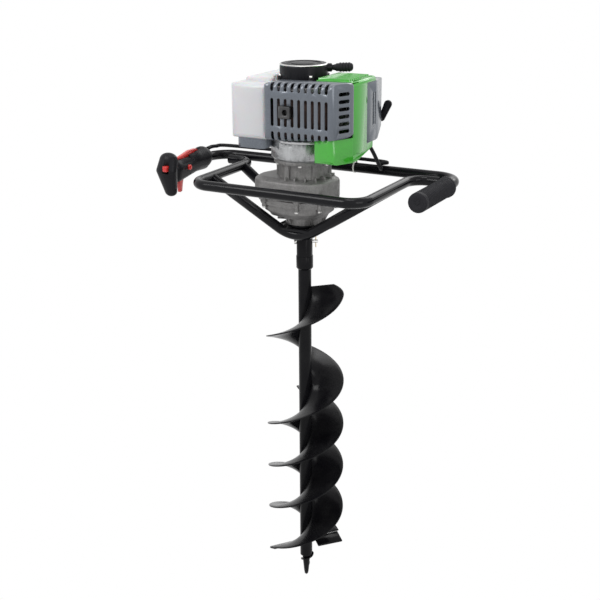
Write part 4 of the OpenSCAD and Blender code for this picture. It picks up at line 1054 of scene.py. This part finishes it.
def dress_tank():
    """Milky fuel tank with its filler neck, on its grey band"""
    (x0, x1), (y0, y1), top = TANK_X, TANK_Y, TANK_Z[1]
    tank = form("tank", (box_outline(TANK_X, TANK_Y, 26, 8), Z, 190, 400),
                (box_outline(TANK_X, TANK_Z, 18, 6), Y, y0 - 5, y1 + 5),
                (box_outline(TANK_Y, TANK_Z, 14), X, x0 - 5, x1 + 5))
    hump = form("hump", (wrapped([(x0 + 36, y0 + 54, 14), (x1 - 12, y0 + 54, 8), (x1 - 12, y1 - 28, 8),
                                  (x0 + 36, y1 - 28, 14)]), Z, top - 20, top + 20),
                (slot_outline((x0 + 34, top), (x1 - 14, top), 20), Y, -100, 100))
    neck = prisms("neck", (circle(*TANK_NECK, 20, 48), Y, y1 - 6, y1 + 8))
    tank = combined("UNION", tank, hump, neck)
    tank = combined("DIFFERENCE", tank, prisms("tank_starter", (circle(0, 0, 72), Z, 190, 400)),
                    prisms("tank_bell", (circle(0, 0, TANK_BELL), Z, 150, 235)),
                    prisms("neck_bore", (circle(*TANK_NECK, 15, 48), Y, y1 - 10, y1 + 20)))
    place_form("fuel_tank", tank)
    wide = (x0 + 14, x1 - 2)
    band = form("tank_band", (box_outline(wide, (y0 + 8, y1 - 8), 18), Z, 180, 246),
                (box_outline(wide, (206, 246), 8), Y, -120, 120))
    band = combined("DIFFERENCE", band, prisms("band_core", (circle(0, 0, TANK_BELL), Z, 150, 260)))
    place_form("tank_guard", band)


def dress_throttle_grip():
    """Both halves of the throttle grip, with a ball at the rear where the bar comes in"""
    profile = [(2, 0), (2, 20.5), (40, 24.6)]
    profile += [(BALL_Y + BALL_RADIUS * math.cos(math.radians(a)), BALL_RADIUS * math.sin(math.radians(a)))
                for a in range(105, 0, -7)] + [(BALL_Y + BALL_RADIUS, 0)]
    bar_profile = [(-20, 0), (-20, 13), (140, 13), (140, 0)]

    def ball_form():
        return turned("ball", profile, (-GRIP_AXIS[0], 0, BALL_Z), (0, 1, 0), 48)

    for node, low, high in (("grip_left_half", -410, -346), ("grip_right_half", -346, -280)):
        behind = combined("DIFFERENCE", prisms("behind", block((-410, -280), (BALL_Y, 130), (80, 190))),
                          ball_form())
        ball = combined("DIFFERENCE", ball_form(),
                        turned("bar_room", bar_profile, (-GRIP_AXIS[0], 0, GRIP_AXIS[1]), (0, 1, 0), 40),
                        prisms("lever_room", block((-352.5, -339.5), (-60, 57), (136, 200))),
                        prisms("wire_room", block((-351.5, -339.5), (72, 130), (140, 152.5))))
        ball = combined("INTERSECT", ball, prisms("side", block((low, high), (-20, 130), (80, 190))))
        half = combined("DIFFERENCE", cad_helper("half", node), behind)
        place_form(node, combined("UNION", half, ball), 0, 38)


def dress_controls():
    """Trigger, lever, switches and the ribbed rubber grip"""
    for node in ("throttle_trigger", "lockoff_lever", "start_button", "stop_switch"):
        softened(node, 0.0012, segments=3)
    start, end = GRIP_ENDS
    long = end - start
    ribs = sizes().grip_ribs
    pitch = (long - 26) / ribs
    profile = [(0, 0), (0, 4), (1.2, 5), (1.2, 8.5), (0, 10), (0, 20), (2.2, 23.2), (5, 23.5), (14, 23.5)]
    for i in range(ribs):
        at = 14 + pitch * i
        profile += [(at + 1.0, 22.3), (at + pitch - 2.0, 22.3), (at + pitch - 1.0, 23.5), (at + pitch, 23.5)]
    profile += [(long - 8, 23.5), (long - 6, 25.3), (long - 1.5, 25.3), (long, 24), (long, 12.7)]
    dress("right_grip", lathe("right_grip_dressed", profile, (GRIP_AXIS[0], start, GRIP_AXIS[1]),
                              (0, 1, 0), 72))


def dress_conduit():
    """Ridged conduit of the throttle cable and wires"""
    pitch = sizes().conduit_pitch
    route = smooth_route(CONDUIT_ROUTE, pitch / 4)
    dress("control_conduit", sweep(
        "control_conduit_dressed", route,
        lambda s: (CONDUIT_RADIUS + CONDUIT_RIDGE * math.cos(2 * math.pi * s / pitch)) * MM, 14))


def dress_starter():
    """Starter cover with its mouth, posts, screws and bright rim, the reel and the pull handle"""
    r, top = STARTER_RADIUS, STARTER_TOP
    upright = (0, 0, 0), (0, 0, 1)
    spots = around(0, 0, r + 1, STARTER_SCREWS)
    profile = [(SHROUD_TOP, 0), (SHROUD_TOP, r), (top - 8, r), (top - 5, r - 0.7), (top - 2, r - 3),
               (top, r - 7), (top, r - 14), (top - 2, r - 16), (top - 2, 31), (top, 29), (top + 0.4, 20),
               (top + 0.4, 0)]
    axis = Vector((math.cos(PULL_ANGLE), math.sin(PULL_ANGLE), 0))
    start = axis * (r + 12.3) + Vector((0, 0, PULL_HEIGHT))
    posts = prisms("posts", *[(circle(x, y, 6.5, 24), Z, SHROUD_TOP, POST_TOP) for x, y in spots])
    mouth = turned("mouth", [(-24, 0), (-24, 10), (-3, 10), (-1, 8.5), (-1, 0)], start, axis, 40)
    cover = combined("UNION", turned("cover", profile, *upright, 96), mouth, posts)
    bore = turned("bore", [(-12, 0), (-12, 3.6), (4, 3.6), (4, 0)], start, axis, 24)
    place_form("starter_cover", combined("DIFFERENCE", cover, bore))

    profile = [(-24, 0), (-24, 2.2), (0, 2.2), (0, 6), (7, 7.5), (10, 9.4), (15, 9.4)]
    for at in range(16, 44, 7):
        profile += [(at, 9.4), (at + 1.5, 11), (at + 5, 11), (at + 6.5, 9.4)]
    profile += [(46, 9.2), (49, 6), (50, 0)]
    dress("starter_handle", lathe("starter_handle_dressed", profile, start, axis, 40))
    profile = [(SHROUD_TOP + 4, 0), (SHROUD_TOP + 4, 48), (SHROUD_TOP + 7, 48), (SHROUD_TOP + 7, 36),
               (top - 14, 36), (top - 14, 48), (top - 11, 48), (top - 11, 0)]
    dress("starter_reel", lathe("starter_reel_dressed", profile, *upright))
    scattered("starter_screws", cap_screw(4.2), [(x, y, POST_TOP) for x, y in spots], (0, 0, 0), "frame",
              bright_steel())
    profile = [(top - 4, r - 0.5), (top - 2.5, r + 0.4), (top - 1, r - 1.6), (top - 0.6, r - 3.2),
               (top - 1.6, r - 3.4), (top - 4, r - 1.5), (top - 4, r - 0.5)]
    place_mesh("starter_rim", lathe("starter_rim", profile, *upright, 96), "frame", bright_steel())


def white_to_camera(nodes, links, lit, white):
    """A shader that is white to the camera and in shiny or clear surfaces, and lit for all other rays"""
    rays = nodes.new("ShaderNodeLightPath").outputs
    total = rays["Is Camera Ray"]
    for kind in ("Is Glossy Ray", "Is Transmission Ray"):
        total = calculate(nodes, links, "MAXIMUM", total, rays[kind])
    mix = nodes.new("ShaderNodeMixShader")
    for socket, source in zip(mix.inputs, (total, lit, white)):
        links.new(source, socket)
    return mix.outputs["Shader"]


def pale_floor():
    """A wide pale floor just under the object"""
    s, z = 14.0, CAD_BOX[0][2] - 0.0005
    mesh = bpy.data.meshes.new("Studio floor")
    mesh.from_pydata([(-s, -s, z), (s, -s, z), (s, s, z), (-s, s, z)], [], [(0, 1, 2, 3)])
    material = bpy.data.materials.new("Pale floor")
    material.use_nodes = True
    nodes, links = material.node_tree.nodes, material.node_tree.links
    shader = nodes["Principled BSDF"]
    set_values(shader, {"Base Color": (0.86, 0.86, 0.86, 1), "Roughness": 0.7})
    white = nodes.new("ShaderNodeEmission")
    white.inputs["Color"].default_value = WHITE
    links.new(white_to_camera(nodes, links, shader.outputs["BSDF"], white.outputs["Emission"]),
              nodes["Material Output"].inputs["Surface"])
    mesh.materials.append(material)
    floor = new_object("Studio floor", mesh)
    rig.stage(floor)


def studio_world(scene):
    """Dim white light from all round, behind which the camera sees plain white"""
    world = bpy.data.worlds.new("Studio")
    world.use_nodes = True
    scene.world = world
    nodes, links = world.node_tree.nodes, world.node_tree.links
    nodes.clear()
    skies = []
    for strength in (WORLD_LIGHT, 1.0):
        sky = nodes.new("ShaderNodeBackground")
        set_values(sky, {"Color": WHITE, "Strength": strength})
        skies.append(sky.outputs["Background"])
    links.new(white_to_camera(nodes, links, *skies), nodes.new("ShaderNodeOutputWorld").inputs["Surface"])


def build_stage():
    """Pale floor, soft lamps and the camera"""
    scene = bpy.context.scene
    scene.view_settings.view_transform = "Standard"
    pale_floor()
    studio_world(scene)
    for name, place, size, power in LAMPS:
        light = bpy.data.lights.new(name, "AREA")
        light.size = size
        light.energy = power
        lamp = bpy.data.objects.new(name, light)
        lamp.location = place
        lamp.rotation_euler = (LAMP_TARGET - Vector(place)).to_track_quat("-Z", "Y").to_euler()
        scene.collection.objects.link(lamp)

    # The camera stands where the photograph was taken from, turned a third of a degree about its view
    forward = CAMERA_VIEW.normalized()
    right = forward.cross(Vector((0, 0, 1))).normalized()
    up = right.cross(forward)
    across = right * math.cos(CAMERA_ROLL) + up * math.sin(CAMERA_ROLL)
    above = up * math.cos(CAMERA_ROLL) - right * math.sin(CAMERA_ROLL)
    data = bpy.data.cameras.new("Camera")
    data.sensor_width = 36
    data.lens = 67.17
    data.shift_x = -0.0083
    data.clip_end = 100
    camera = bpy.data.objects.new("Camera", data)
    turn = Matrix((across, above, -forward)).transposed().to_4x4()
    camera.matrix_world = Matrix.Translation(CAMERA_PLACE) @ turn
    scene.collection.objects.link(camera)
    scene.camera = camera


def make_operator(work, label):
    """An operator that runs one making step, described by the step's own words"""
    def execute(self, context):
        work()
        return {"FINISHED"}
    name = work.__name__
    return type("AUGER_OT_" + name, (bpy.types.Operator,), {
        "__doc__": work.__doc__, "bl_idname": "auger." + name, "bl_label": label, "execute": execute})


STEPS = [make_operator(*step) for step in (
    (dress_solids, "Dress the solids"), (dress_tubes, "Frame and shaft"), (dress_flights, "Flights"),
    (dress_point, "Point and blades"), (dress_gearbox, "Gearbox"), (dress_covers, "Small covers"),
    (dress_guard, "Muffler guard"), (dress_cowl, "Engine cowl"), (dress_filter, "Filter cover"),
    (dress_tank, "Fuel tank"), (dress_throttle_grip, "Throttle grip"), (dress_controls, "Controls"),
    (dress_conduit, "Conduit"), (dress_starter, "Starter"), (build_stage, "Stage"))]


class AUGER_PT_panel(bpy.types.Panel):
    """Lists the making steps and their settings"""
    bl_label = "Earth auger"
    bl_idname = "AUGER_PT_panel"
    bl_space_type = "VIEW_3D"
    bl_region_type = "UI"
    bl_category = "Auger"

    def draw(self, context):
        for group in (context.scene.auger_colours, context.scene.auger_sizes):
            for name in group.__annotations__:
                self.layout.prop(group, name)
        for step in STEPS:
            self.layout.operator(step.bl_idname)


CLASSES = [AugerColours, AugerSizes, *STEPS, AUGER_PT_panel]


def register():
    """Adds the classes, and the settings of every scene"""
    for cls in CLASSES:
        bpy.utils.register_class(cls)
    bpy.types.Scene.auger_colours = bpy.props.PointerProperty(type=AugerColours)
    bpy.types.Scene.auger_sizes = bpy.props.PointerProperty(type=AugerSizes)


def unregister():
    """Takes the settings and the classes away again"""
    del bpy.types.Scene.auger_sizes
    del bpy.types.Scene.auger_colours
    for cls in reversed(CLASSES):
        bpy.utils.unregister_class(cls)


def main():
    """Registers the classes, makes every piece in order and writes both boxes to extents.json"""
    register()
    for step in STEPS:
        group, name = step.bl_idname.split(".")
        getattr(getattr(bpy.ops, group), name)()
    with open("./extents.json", "w") as file:
        json.dump({"cad": [list(corner) for corner in CAD_BOX],
                   "visual": [list(corner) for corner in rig.bounds()]}, file)


if __name__ == "__main__":
    main()
